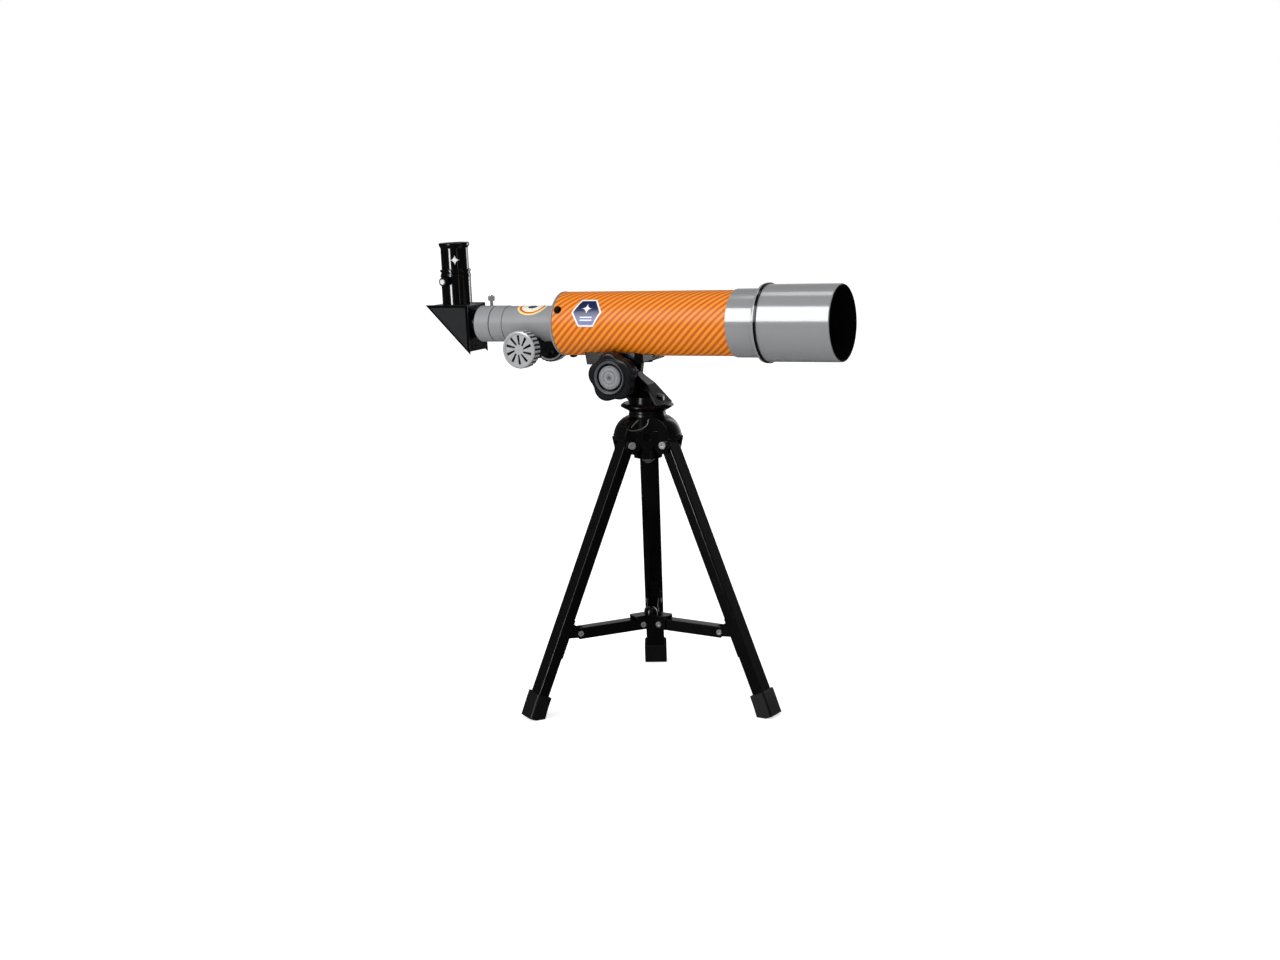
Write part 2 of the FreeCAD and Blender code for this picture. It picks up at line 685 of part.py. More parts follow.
def diagonal_mirror():
    """Flat mirror at 45 degrees on its backing plate, which closes the box."""
    wall = T.prism_wall
    slant = 2.2
    line = prism_rear + T.prism_top + slant
    for label, start, thick, trim in (("diagonal_back_plate", 0.05, 1.5, 1.6),
                                      ("diagonal_mirror", -3.0, 2.95, 7.0)):
        body = new_body(label)
        low_x, high_x = prism_front - trim, line - T.prism_top + trim
        shift = -start * math.sqrt(2)
        deep = thick * math.sqrt(2)
        wide = prism_width - 2 * T.cover_thick - (0 if start > 0 else 4 * wall)
        pad(body, "XZ_Plane", [[(high_x, line - high_x + shift), (low_x, line - low_x + shift),
                                (low_x - deep / 2, line - low_x + shift - deep / 2),
                                (high_x - deep / 2, line - high_x + shift - deep / 2)]], wide)
        on_tube(body)


def thumbscrew(label, along, seat, tip, beside):
    """Knurled set screw; it stands along +Z, or along -Y when beside is set."""
    body = new_body(label)
    knurl = 3.9 if beside else 2.9
    thick = 4.8 if beside else 4.2
    neck = seat + 4.2
    turned(body, [(0, tip), (1.1, tip), (1.4, tip + 0.4), (1.4, neck), (knurl - 0.4, neck),
                  (knurl, neck + 0.5), (knurl, neck + thick - 0.5), (knurl - 0.4, neck + thick),
                  (knurl * 0.6, neck + thick), (knurl * 0.55, neck + thick + 0.8),
                  (0, neck + thick + 0.8)], axis="V_Axis")
    flute = pocket(body, "XY_Plane", [(knurl + 0.35, 0, 0.6)], thick + 1.0, offset=neck + thick + 0.5,
                   both=False)
    around(body, [flute], "Z_Axis", 18)
    if not beside:
        on_tube(body, along)
        return
    rise = axis_rise + eyepiece_screw_height
    x = pivot_x + along * cosine(T.tube_pitch) - rise * sine(T.tube_pitch)
    z = pivot_height + along * sine(T.tube_pitch) + rise * cosine(T.tube_pitch)
    pose(body, x, z, 0, as_size(90), VECTOR(1, 0, 0))


def eyepiece():
    """Eyepiece barrel with a flared eye rim, a shoulder rib, two lenses and a field stop."""
    body = new_body("eyepiece_barrel")
    bore = T.barrel_radius - 1.3
    low = socket_top - T.barrel_depth
    top = eyepiece_top
    shoulder = socket_top + T.gap
    cup = 7.2
    turned(body, [(bore, low), (T.barrel_radius, low), (T.barrel_radius, shoulder),
                  (socket_radius - 0.3, shoulder), (socket_radius - 0.3, shoulder + 1.2),
                  (rib_radius, shoulder + 1.2), (rib_radius, shoulder + 2.8),
                  (T.barrel_radius, shoulder + 3.4), (T.barrel_radius, top - 4.6),
                  (rib_radius - 0.3, top - 2.6), (rib_radius, top - 0.8),
                  (rib_radius - 0.7, top), (cup + 2.4, top), (cup, top - 2.4),
                  (cup, top - 5.2), (bore, top - 5.2)], axis="V_Axis")
    on_tube(body, eyepiece_station)
    for label, height, radius, sag in (("eye_lens", top - 9.6, bore, 1.6),
                                       ("field_lens", low + 5.0, bore, 2.2)):
        body = new_body(label)
        curve = (radius * radius + sag * sag) / (2 * sag)
        turned(body, [(0, height), (radius, height), (radius, height + 1.6),
                      (0, height + 1.6 + sag, curve)], axis="V_Axis")
        on_tube(body, eyepiece_station)
    body = new_body("field_stop")
    turned(body, [(bore - 3.0, low + 12.0), (bore, low + 12.0), (bore, low + 14.0),
                  (bore - 3.0, low + 12.8)], axis="V_Axis")
    on_tube(body, eyepiece_station)


# ---------------------------------------------------------------- head

def saddle():
    """Cradle under the tube: skirts, two ears that straddle the arm's tongue."""
    body = new_body("saddle")
    bottom = -saddle_drop
    wide = T.saddle_width
    ledge = -T.tube_radius + 4.6
    pad(body, "XZ_Plane", [[(T.saddle_rear, ledge), (T.saddle_rear + 1.5, bottom),
                            (T.saddle_front - 14.0, bottom), (T.saddle_front - 0.3, bottom + 4.0),
                            (T.saddle_front, ledge)]], wide)
    for side in (-1, 1):
        toe, flank = side * T.toe_width / 2, side * (wide / 2 + 1)
        pocket(body, "XY_Plane", [[(T.saddle_front + 1, toe), (T.saddle_front + 1, flank),
                                   (T.saddle_front - 16.0, flank), (T.saddle_front - 16.0, side * wide / 2),
                                   (T.saddle_front - 9.0, toe)]], 3 * saddle_drop)
    pocket(body, "YZ_Plane", [(0, 0, T.tube_radius + T.running)], 300)
    web = -T.tube_radius - 3.2
    pocket(body, "XY_Plane", [box_outline(T.saddle_rear + 4.5, T.saddle_front - 4.0,
                                          -wide / 2 + 3.5, wide / 2 - 3.5)],
           saddle_drop, offset=web, both=False)
    pivot = -axis_rise
    ears = 2 * ear_outer
    pad(body, "XZ_Plane", [(0, pivot, T.ear_radius)], ears)
    pad(body, "XZ_Plane", [[(-T.ear_radius, pivot), (T.ear_radius, pivot),
                            (T.ear_radius + 2.1, web + 0.05), (-T.ear_radius - 4.0, web + 0.05)]], ears)
    pocket(body, "XZ_Plane", [box_outline(-T.ear_radius - 6, T.ear_radius + 6,
                                          pivot - T.ear_radius - 1, pivot + T.ear_radius + 0.6)],
           T.tongue_width + 2 * T.gap)
    pocket(body, "XZ_Plane", [(0, pivot, T.bolt_radius + T.running)], 2 * wide)
    pocket(body, "XY_Plane", [(x, 0, 2.05) for x in saddle_screws_at], 40, both=False)
    on_tube(body)


def saddle_screws():
    """Two screws up through the saddle, with nuts inside the tube."""
    body = new_body("saddle_screws")
    for x in saddle_screws_at:
        sketch_low = -T.tube_radius - 5.4
        pad(body, "XY_Plane", [(x, 0, 2.0)], 9.4, offset=sketch_low, both=False)
        pad(body, "XY_Plane", [(x, 0, 3.6)], 2.2, offset=sketch_low, both=False)
        pad(body, "XY_Plane", [(x, 0, T.nut_radius)], 2.2, offset=nut_low, both=False)
    on_tube(body)


def altitude_bolt():
    """Bolt across the ears; its head is on the side away from the knob."""
    body = new_body("altitude_bolt")
    head = ear_outer + 0.25
    turned(body, [(-knob_back - 6.0, 0), (head + 3.0, 0), (head + 2.4, 3.6), (head, 5.4),
                  (head, T.bolt_radius), (-knob_back - 6.0, T.bolt_radius)], plane="YZ_Plane")
    pose(body, pivot_x, pivot_height)


def lobed_outline(count, tip, valley, lobe):
    """Closed outline of round lobes joined smoothly by hollow arcs."""
    step = 180.0 / count
    reach = tip - lobe
    turn = math.cos(math.radians(step))
    hollow = derived("knob_hollow", (reach * reach + valley * valley - 2 * turn * reach * valley
                                     - lobe * lobe) / (2 * (lobe - valley + turn * reach)))
    share = derived("knob_share", lobe / (lobe + hollow))
    points = []
    for number in range(count):
        for side in (-1, 1):
            here, there = (math.radians(step * (2 * number + extra)) for extra in (0, side))
            mix = []
            for wave in (math.cos, math.sin):
                mix.append(reach * wave(here) * (1 - share) + (valley + hollow) * wave(there) * share)
            points.append((mix[0], mix[1], -hollow if side < 0 else lobe))
    return points


def altitude_knob():
    """Five-lobed clamp knob with a raised bead round its cap."""
    body = new_body("altitude_knob")
    bead = T.cap_radius + 3.9
    face = knob_face - 0.9
    pad(body, "XZ_Plane", [lobed_outline(5, T.knob_radius, T.knob_radius * 0.87, T.knob_radius * 0.52)],
        T.knob_width - 0.9, offset=knob_back, both=False)
    soften(body, 3.0, lambda edge: edge.BoundBox.YLength < 0.01
           and abs(edge.CenterOfMass.y + face.value) < 0.01)
    soften(body, 2.2, lambda edge: edge.BoundBox.YLength < 0.01
           and abs(edge.CenterOfMass.y + knob_back.value) < 0.01)
    turned(body, [(-knob_inner, 0), (-knob_inner, 8.6), (-knob_inner - 0.4, 9.0), (-knob_back, 9.5),
                  (-knob_back - 1.0, 9.5), (-knob_back - 1.0, 0)], plane="YZ_Plane")
    turned(body, [(-face + 0.5, bead - 1.3), (-face, bead - 1.3), (-face - 1.6, bead, -1.6),
                  (-face, bead + 1.3, -1.6), (-face + 0.5, bead + 1.3)], plane="YZ_Plane")
    pocket(body, "XZ_Plane", [(0, 0, T.cap_radius + 2.0)], 5.0, offset=knob_face + 2.0, both=False)
    pocket(body, "XZ_Plane", [(0, 0, T.bolt_radius + T.running)], T.knob_width + 12.0,
           offset=knob_back + 6.4, both=False)
    x, z = pivot_x, pivot_height
    pose(body, x, z, 0, as_size(26), VECTOR(0, -1, 0))
    body = new_body("altitude_knob_cap")
    turned(body, [(-knob_face + 3.0, 0), (-knob_face + 3.0, T.cap_radius),
                  (-knob_face + 0.7, T.cap_radius), (-knob_face + 0.2, T.cap_radius - 0.5),
                  (-knob_face + 0.2, 0)], plane="YZ_Plane")
    pose(body, x, z)


def mount_head():
    """Turntable plate and drum, a tongue up to the tilt pivot and a creased front flange."""
    body = new_body("mount_head")
    low, top = plate_bottom, plate_top
    toe = (T.plate_radius - 5.2, top - 0.4)
    knee = (pivot_x + 24.7, pivot_height - 7.4)
    brow = (pivot_x + 11.6, pivot_height + 2.2)
    thick = 2.6
    pad(body, "XZ_Plane", [[toe, knee, brow, (brow[0] - 1.2, brow[1] - 2.0),
                            (knee[0] - 1.8, knee[1] - thick), (toe[0] - thick - 0.6, toe[1])]],
        T.arm_width)
    knee_half = T.tongue_width / 2 + 1.4
    for side in (-1, 1):
        pocket(body, "YZ_Plane", [[(side * T.arm_width / 2, toe[1]), (side * knee_half, knee[1]),
                                   (side * T.tongue_width / 2, brow[1] - 3.6),
                                   (side * T.tongue_width / 2, brow[1] + 1.0),
                                   (side * T.arm_width, brow[1] + 1.0), (side * T.arm_width, toe[1])]],
               4 * T.plate_radius)
    turned(body, [(T.pan_bolt_radius + 0.04, low), (15.9, low), (T.plate_radius, low + 3.6),
                  (T.plate_radius, top - 1.6), (T.plate_radius - 2.1, top), (T.drum_radius, top),
                  (T.drum_radius - 0.7, drum_top), (7.0, drum_top + 4.6), (0, drum_top + 4.6),
                  (0, top - 0.8), (T.pan_bolt_radius + 0.04, top - 0.8)], axis="V_Axis")
    pad(body, "XZ_Plane", [(pivot_x, pivot_height, T.ear_radius)], T.tongue_width)
    pad(body, "XZ_Plane", [[(pivot_x - 7.6, pivot_height - 8.0), (-T.drum_radius + 1.2, top + 1.0),
                            (toe[0] - 4.0, top + 1.0), (toe[0] - 3.4, toe[1] + 1.4),
                            (knee[0] - 2.0, knee[1] - 1.0), (brow[0] - 1.0, brow[1] - 1.0)]],
        T.tongue_width)
    pocket(body, "XZ_Plane", [(pivot_x, pivot_height, T.bolt_radius + T.running)],
           2 * T.tongue_width)


def pan_bearing():
    """Bearing ring under the turntable and the bolt that holds it down on the dome."""
    body = new_body("pan_ring")
    top = plate_bottom
    turned(body, [(T.pan_bolt_radius + 0.3, dome_top), (15.7, dome_top), (15.7, top - 2.4),
                  (14.9, top - 1.9), (15.5, top - 1.3), (15.5, top), (T.pan_bolt_radius + 0.3, top)],
           axis="V_Axis")
    body = new_body("pan_bolt")
    head = boss_bottom - 0.4
    turned(body, [(0, head - 4.6), (2.2, head - 4.6), (5.2, head - 2.0), (5.2, head - 0.9),
                  (6.4, head - 0.9), (6.4, head), (T.pan_bolt_radius, head),
                  (T.pan_bolt_radius, plate_top - 1.0), (0, plate_top - 1.0)], axis="V_Axis")


# ---------------------------------------------------------------- tripod

def tripod_hub():
    """Dome with three forked lugs, bowed-in webs between them and a boss below."""
    body = new_body("tripod_hub")
    bore = T.pan_bolt_radius + T.running
    reach, height = T.hinge_reach, T.hinge_height
    turned(body, [(bore, boss_bottom), (T.boss_radius, boss_bottom),
                  (T.boss_radius, dome_skirt), (T.dome_radius - 0.4, dome_skirt),
                  (T.dome_radius - 0.2, height + 6.4), (T.dome_radius, height + 6.6),
                  (T.dome_radius, height + 7.6), (T.dome_radius - 0.5, height + 8.2),
                  (16.8, dome_top, 17.5), (bore, dome_top)], axis="V_Axis")
    lug = pad(body, "XZ_Plane", [[(9.0, dome_skirt - 3.0), (reach - 4.0, height - 8.6),
                                  (reach + 4.4, height - 6.4), (T.dome_radius - 1.0, dome_skirt),
                                  (T.dome_radius - 1.0, height + 6.0), (9.0, height + 6.0)]], lug_width)
    around(body, [lug], "Z_Axis", 3)
    web = pocket(body, "XY_Plane", [(-40.4, 0, 24.9)], 60, offset=dome_top + 1, both=False)
    around(body, [web], "Z_Axis", 3)
    skin = T.dome_radius - 1.3
    slot = pocket(body, "XZ_Plane", [[(reach - 5.6, boss_bottom - 1), (skin + 8, boss_bottom - 1),
                                      (skin + 8, dome_skirt - 0.01), (skin, dome_skirt - 0.01),
                                      (skin, height + 3.0), (skin - 4.0, height + 6.6),
                                      (reach - 5.6, height + 6.6)]], T.leg_width + 2 * T.gap)
    around(body, [slot], "Z_Axis", 3)
    pin = pocket(body, "XZ_Plane", [(reach, height, T.pin_radius + 0.02)], 2 * lug_width)
    around(body, [pin], "Z_Axis", 3)
    face = -T.boss_radius - 5.4
    shield = pad(body, "YZ_Plane", [[(-8.6, height + 11.0), (8.6, height + 11.0), (8.0, height + 2.0),
                                     (3.2, height - 4.6), (0, height - 6.6), (-3.2, height - 4.6),
                                     (-8.0, height + 2.0)]], 4.0, offset=face, both=False)
    around(body, [shield], "Z_Axis", 3)
    recess = pocket(body, "YZ_Plane", [(0, height + 6.2, 3.0)], 2.0, offset=face + 1.0, both=False)
    around(body, [recess], "Z_Axis", 3)
    on_leg_side(body, 0)


def hub_screws():
    """Domed screws in the recesses of the three webs."""
    body = new_body("hub_screws")
    face = -T.boss_radius - 5.4
    height = T.hinge_height + 6.2
    screw = pad(body, "YZ_Plane", [(0, height, 2.3)], 1.3, offset=face - 0.4, both=False)
    around(body, [screw], "Z_Axis", 3)
    on_leg_side(body, 0)


def pivot_pins():
    """A rivet through each lug for the leg to swing on, with dimpled heads."""
    body = new_body("leg_pivot_pins")
    half = lug_width / 2
    place = (T.hinge_reach, T.hinge_height)
    shank = pad(body, "XZ_Plane", [(*place, T.pin_radius)], lug_width + 0.8)
    heads = []
    for side in (-1, 1):
        depth = half if side > 0 else -half - 1.5
        heads.append(pad(body, "XZ_Plane", [(*place, 3.1), (*place, 1.3)], 1.5, offset=depth, both=False))
    around(body, [shank] + heads, "Z_Axis", 3)
    on_leg_side(body, 0)


def leg(number):
    """Hollow extruded leg with a rounded top about its hinge."""
    body = new_body("leg_%d" % (number + 1))
    half = T.leg_depth / 2
    pad(body, "XZ_Plane", [[leg_point(0, -half), leg_point(leg_length, -half),
                            leg_point(leg_length, half), leg_point(0, half)]], T.leg_width)
    soften(body, 1.0, lambda edge: edge.Length > 200)
    pad(body, "XZ_Plane", [(T.hinge_reach, T.hinge_height, half)], T.leg_width)
    inner = half - T.leg_wall
    pocket(body, "XZ_Plane", [[leg_point(9, -inner), leg_point(leg_length + 3, -inner),
                               leg_point(leg_length + 3, inner), leg_point(9, inner)]],
           T.leg_width - 2 * T.leg_wall)
    pocket(body, "XZ_Plane", [(T.hinge_reach, T.hinge_height, T.pin_radius + T.running)],
           2 * T.leg_width)
    on_leg_side(body, number)


def foot(number):
    """Rubber cap with a lip on top; its sole is flat under the leg and lifts at the toe."""
    body = new_body("foot_%d" % (number + 1))
    half = T.leg_depth / 2
    top = (T.hinge_height - T.foot_height) / cosine(T.leg_angle)
    sole = T.hinge_reach + T.hinge_height * sine(T.leg_angle) / cosine(T.leg_angle)
    pad(body, "XZ_Plane", [[(sole - 7.6, 0), (sole + 0.6, 0), (sole + 6.0, 2.0),
                            leg_point(top + 6.0, half + 2.0), leg_point(top, half + 1.9),
                            leg_point(top, -half - 1.5), leg_point(top + 8, -half - 1.6)]], foot_width)
    soften(body, 2.0, lambda edge: 6 < edge.Length < 26 and edge.BoundBox.YLength < 0.01
           and edge.BoundBox.ZLength > 10)
    pocket(body, "XZ_Plane", [[leg_point(top - 3, -half), leg_point(leg_length, -half),
                               leg_point(leg_length, half), leg_point(top - 3, half)]], T.leg_width)
    on_leg_side(body, number)


def bracket_points():
    """Key points of the bracket on the leg's inner face, in the leg's side view."""
    inner = -T.leg_depth / 2
    down = brace_down - (T.hinge_reach + brace_down * sine(T.leg_angle) - brace_out) * sine(T.leg_angle)
    return inner, down


def leg_bracket(number):
    """Plate on the leg's inner face with two ears for the spreader arm."""
    body = new_body("leg_bracket_%d" % (number + 1))
    inner, down = bracket_points()
    ear = 2 * (bracket_ear + 1.3)
    pad(body, "XZ_Plane", [[leg_point(down - 9, inner), leg_point(down + 25, inner),
                            leg_point(down + 25, inner - 1.3), leg_point(down - 9, inner - 1.3)]], ear)
    eye = 3.6
    pad(body, "XZ_Plane", [[leg_point(down - 6, inner - 0.3), leg_point(down + 7, inner - 0.3),
                            (brace_out + 0.6, T.brace_out_height - eye),
                            (brace_out - 0.6, T.brace_out_height + eye)]], ear)
    pad(body, "XZ_Plane", [(brace_out, T.brace_out_height, eye)], ear)
    pocket(body, "XZ_Plane", [[leg_point(down - 14, inner - 1.31), leg_point(down + 24, inner - 1.31),
                               leg_point(down + 24, inner - 24), leg_point(down - 14, inner - 24)]],
           2 * bracket_ear)
    pocket(body, "XZ_Plane", [(brace_out, T.brace_out_height, T.rivet_radius)], 3 * ear)
    on_leg_side(body, number)


def arm_rivet(number):
    """Rivet across the bracket ears, where the spreader arm turns; its heads are dimpled."""
    body = new_body("arm_rivet_%d" % (number + 1))
    half = bracket_ear + 1.3
    x, z = brace_out, T.brace_out_height
    pad(body, "XZ_Plane", [(x, z, T.rivet_radius)], 2 * half + 0.4)
    for depth in (half, -half - 1.0):
        pad(body, "XZ_Plane", [(x, z, 2.4), (x, z, 1.0)], 1.0, offset=depth, both=False)
    on_leg_side(body, number)


def spreader_arm(number):
    """Folded channel, open below, with rounded flange ends at its two rivets."""
    body = new_body("spreader_arm_%d" % (number + 1))
    tip = 2.2
    start, end = T.brace_in - tip, brace_out + 3.2
    middle = brace_in_height
    wide = T.brace_width
    pad(body, "XZ_Plane", [[(T.brace_in, middle + tip), (start, middle, tip),
                            (T.brace_in, middle - tip, tip), (T.brace_in + 2.0, brace_low),
                            (end - 3.0, brace_low), (end, middle - 1.4), (end, middle + 2.0),
                            (end - 3.4, brace_high), (start + 9.0, brace_high),
                            (start + 4.6, middle + 3.0)]], wide)
    pocket(body, "XZ_Plane", [[(start - 1, brace_low - 1), (end + 1, brace_low - 1),
                               (end + 1, brace_high + 1), (end - 7.0, brace_high + 1),
                               (end - 7.0, brace_high - T.brace_wall),
                               (start + 9.0, brace_high - T.brace_wall), (start + 9.0, brace_high + 1),
                               (start - 1, brace_high + 1)]], wide - 2 * T.brace_wall)
    pocket(body, "XZ_Plane", [(brace_out, T.brace_out_height, T.rivet_radius + T.running),
                              (T.brace_in, brace_in_height, T.rivet_radius + 0.3)], 3 * wide)
    on_leg_side(body, number)


def spreader_hub():
    """Three-lobed plate with pairs of cheeks folded down over the arm ends."""
    body = new_body("spreader_hub")
    under = brace_high + 1.6
    inside, outside = bracket_ear, bracket_ear + 1.1
    reach = 18.6
    lobe = [(0, -outside), (reach - 2, -outside), (reach, -outside + 2), (reach, outside - 2),
            (reach - 2, outside), (0, outside)]
    pads = [pad(body, "XY_Plane", [lobe], 1.2, offset=under, both=False)]
    for side in (-1, 1):
        near, far = (inside, outside) if side > 0 else (-outside, -inside)
        pads.append(pad(body, "XY_Plane", [box_outline(6.0, reach - 1.2, near, far)],
                        T.arm_height + 1.2, offset=under - T.arm_height - 1.2, both=False))
    around(body, pads, "Z_Axis", 3)
    hole = pocket(body, "XZ_Plane", [(T.brace_in, brace_in_height, T.rivet_radius)], 60)
    around(body, [hole], "Z_Axis", 3)
    on_leg_side(body, 0)


def spreader_rivets():
    """Rivets through the hub's cheeks, cut short so that the arm ends pass between them."""
    body = new_body("spreader_rivets")
    inside, outside = bracket_ear, bracket_ear + 1.1
    x, z = T.brace_in, brace_in_height
    pads = []
    for side in (-1, 1):
        shank = inside if side > 0 else -outside - 0.2
        head = outside if side > 0 else -outside - 1.0
        pads.append(pad(body, "XZ_Plane", [(x, z, T.rivet_radius)], 1.3, offset=shank, both=False))
        pads.append(pad(body, "XZ_Plane", [(x, z, 2.4), (x, z, 1.0)], 1.0, offset=head, both=False))
    around(body, pads, "Z_Axis", 3)
    on_leg_side(body, 0)


def spreader_cap():
    """Domed cap nut in the middle of the spreader hub."""
    body = new_body("spreader_cap")
    floor = brace_high + 2.8
    turned(body, [(0, floor), (5.6, floor), (5.6, floor + 1.2), (3.6, floor + 4.4, 4.4),
                  (0.4, floor + 5.35, 7.0), (0, floor + 5.35)], axis="V_Axis")


def build():
    main_tube()
    focuser_housing()
    tube_screws()
    objective_cell()
    objective_lenses()
    dew_shield()
    light_baffles()
    drawtube()
    socket_ring()
    focus_rack()
    pinion()
    focus_shaft()
    focus_wheel("focus_wheel_right", -1)
    focus_wheel("focus_wheel_left", 1)
    gearbox()
    gearbox_screws()
    diagonal_body()
    diagonal_covers()
    diagonal_mirror()
    thumbscrew("socket_thumbscrew", socket_screw_at, collar_radius, barrel_bore, False)
    thumbscrew("eyepiece_thumbscrew", eyepiece_station, socket_radius, barrel_bore, True)
    eyepiece()
    saddle()
    saddle_screws()
    altitude_bolt()
    altitude_knob()
    mount_head()
    pan_bearing()
    tripod_hub()
    hub_screws()
    pivot_pins()
    for number in range(3):
        leg(number)
        foot(number)
        leg_bracket(number)
        arm_rivet(number)
        spreader_arm(number)
    spreader_hub()
    spreader_rivets()
    spreader_cap()


def check_and_export():
    """Refuses a document with a failed object or a bad solid, then writes every sub-part."""
    DOC.recompute()
    faults = []
    for item in DOC.Objects:
        if "Invalid" in item.State or "Error" in item.State:
            faults.append("%s: %s" % (item.Label, item.State))
    bodies = [item for item in DOC.Objects if item.TypeId == "PartDesign::Body"]
    for body in bodies:
        if body.Shape.isNull() or not body.Shape.isValid() or not body.Shape.Solids:
            faults.append(body.Label + ": bad shape")
    if faults:
        raise RuntimeError("; ".join(faults))
    os.makedirs("parts", exist_ok=True)
    for body in bodies:
        body.Shape.exportStep("parts/%s.step" % body.Label)
        print("%-24s %d solid(s) %10.1f mm3" % (body.Label, len(body.Shape.Solids), body.Shape.Volume))


build()
check_and_export()
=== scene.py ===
import math

import bmesh
import bpy
import numpy as np
from mathutils import Matrix, Vector


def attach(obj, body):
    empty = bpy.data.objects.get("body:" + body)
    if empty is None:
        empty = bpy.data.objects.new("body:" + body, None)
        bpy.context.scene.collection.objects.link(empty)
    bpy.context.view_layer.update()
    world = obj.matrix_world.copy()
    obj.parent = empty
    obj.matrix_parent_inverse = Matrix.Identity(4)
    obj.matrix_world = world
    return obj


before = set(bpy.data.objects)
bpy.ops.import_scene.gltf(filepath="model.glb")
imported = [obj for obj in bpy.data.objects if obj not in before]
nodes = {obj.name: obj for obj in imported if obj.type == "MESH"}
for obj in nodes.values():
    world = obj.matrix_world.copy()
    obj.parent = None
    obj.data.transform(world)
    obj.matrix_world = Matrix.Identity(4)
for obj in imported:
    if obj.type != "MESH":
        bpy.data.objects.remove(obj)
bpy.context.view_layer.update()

MM = 0.001

# Places on the telescope. Stations are millimetres along the tube's axis from the tilt pivot,
# positive towards the sky; heights are degrees round an axis, from the user's right side up.
PITCH = math.radians(1.654)
PIVOT = (-0.0203, 0.0, 0.2804)
AXIS_RISE = 42.6
TUBE_RADIUS = 27.0
FILM_REAR = -53.3
CELL_FRONT = 130.8
SHIELD_RIM = 31.7
HOUSING_RADIUS = 15.3
WHEEL_STATION = -84.8
WHEEL_DROP = 19.5
EYEPIECE_RADIUS = 12.0
EYEPIECE_STATION = -162.8

BADGE_STATION = -20.9
BADGE_HEIGHT = 25.5
BADGE_CORNER = 14.2
OVAL_STATION = -84.0
OVAL_HEIGHT = 74.0
OVAL_HALF = (14.0, 11.0)
LABEL_THICKNESS = 0.14

EDGE_RADIUS = 0.0008


# ---------------------------------------------------------------- mesh helpers

def piece(name, grid):
    """A closed mesh from a rows x columns x 3 grid of points in millimetres: neighbours in the
    grid make one quad each, the last column joins the first, and points that fall together,
    such as poles and seams, are merged. Normals are then turned outwards, and only edges
    sharper than 60 degrees stay hard."""
    rows, columns = grid.shape[:2]
    left = np.arange(rows * columns).reshape(rows, columns)
    right = np.roll(left, -1, axis=1)
    quads = np.stack([left[:-1], right[:-1], right[1:], left[1:]], axis=-1).reshape(-1, 4)
    mesh = bpy.data.meshes.new(name)
    mesh.from_pydata((grid.reshape(-1, 3) * MM).tolist(), [], quads.tolist())
    work = bmesh.new()
    work.from_mesh(mesh)
    bmesh.ops.remove_doubles(work, verts=work.verts, dist=1e-6)
    bmesh.ops.dissolve_degenerate(work, edges=work.edges, dist=1e-7)
    bmesh.ops.recalc_face_normals(work, faces=work.faces)
    work.to_mesh(mesh)
    work.free()
    made = bpy.data.objects.new(name, mesh)
    bpy.context.scene.collection.objects.link(made)
    mesh.shade_smooth()
    mesh.set_sharp_from_angle(angle=math.radians(60))
    return made


def tube_to_world(points):
    """Points given along, beside and above the tube's axis, in millimetres, to the row frame:
    turned by the tube's pitch about the tilt pivot and moved there."""
    along, beside, above = points[..., 0], points[..., 1], points[..., 2] + AXIS_RISE
    x = along * math.cos(PITCH) - above * math.sin(PITCH) + PIVOT[0] / MM
    z = along * math.sin(PITCH) + above * math.cos(PITCH) + PIVOT[2] / MM
    return np.stack([x, beside, z], axis=-1)


def label(name, reach, radius, station, height, lift, upright=False):
    """A thin label wrapped on a cylinder. reach(turn) is its outline's distance from its middle;
    a point at share s of that reach lies s*reach*cos(turn) along the cylinder and
    s*reach*sin(turn) round it. The skin goes out on the underside and back on top, lift proud.
    When upright is set the cylinder is the eyepiece: cos(turn) then goes round it and sin(turn)
    up it, station is counted up its axis and height round it from the side of the sky."""
    turn = np.linspace(0, 2 * math.pi, 145)[:-1]
    share = np.concatenate([np.linspace(0, 1, 9), np.linspace(1, 0, 9)])
    level = np.concatenate([np.full(9, 0.02), np.full(9, lift)])
    level[9] = lift * 0.8
    edge = reach(turn)
    along = share[:, None] * (edge * np.cos(turn))[None, :]
    around = share[:, None] * (edge * np.sin(turn))[None, :]
    far = radius + level[:, None] + 0 * along
    if upright:
        angle = math.radians(height) + along / radius
        grid = np.stack([far * np.cos(angle), far * np.sin(angle), around + station], axis=-1)
        grid[..., 0] += EYEPIECE_STATION
    else:
        angle = math.radians(height) + around / radius
        grid = np.stack([along + station, -far * np.cos(angle), far * np.sin(angle)], axis=-1)
    return piece(name, tube_to_world(grid))


# ---------------------------------------------------------------- material helpers

def colour(hex_code):
    """sRGB hex to linear RGBA."""
    channels = [int(hex_code[i:i + 2], 16) / 255 for i in (1, 3, 5)]
    linear = [c / 12.92 if c <= 0.04045 else ((c + 0.055) / 1.055) ** 2.4 for c in channels]
    return (*linear, 1.0)


def add(tree, kind, inputs=None, **settings):
    """Adds a node, sets its properties, and gives each input a value or a link."""
    node = tree.nodes.new(kind)
    for name, value in settings.items():
        setattr(node, name, value)
    for name, value in (inputs or {}).items():
        if isinstance(value, bpy.types.NodeSocket):
            tree.links.new(value, node.inputs[name])
        else:
            node.inputs[name].default_value = value
    return node


def finish_of(name, **sockets):
    """A new material and its shader, with the plain values set on the shader's own sockets."""
    material = bpy.data.materials.new(name)
    material.use_nodes = True
    tree = material.node_tree
    tree.nodes.clear()
    values = {socket.replace("_", " "): value for socket, value in sockets.items()}
    shader = add(tree, "ShaderNodeBsdfPrincipled", values)
    add(tree, "ShaderNodeOutputMaterial", {"Surface": shader.outputs[0]})
    return material, tree, shader


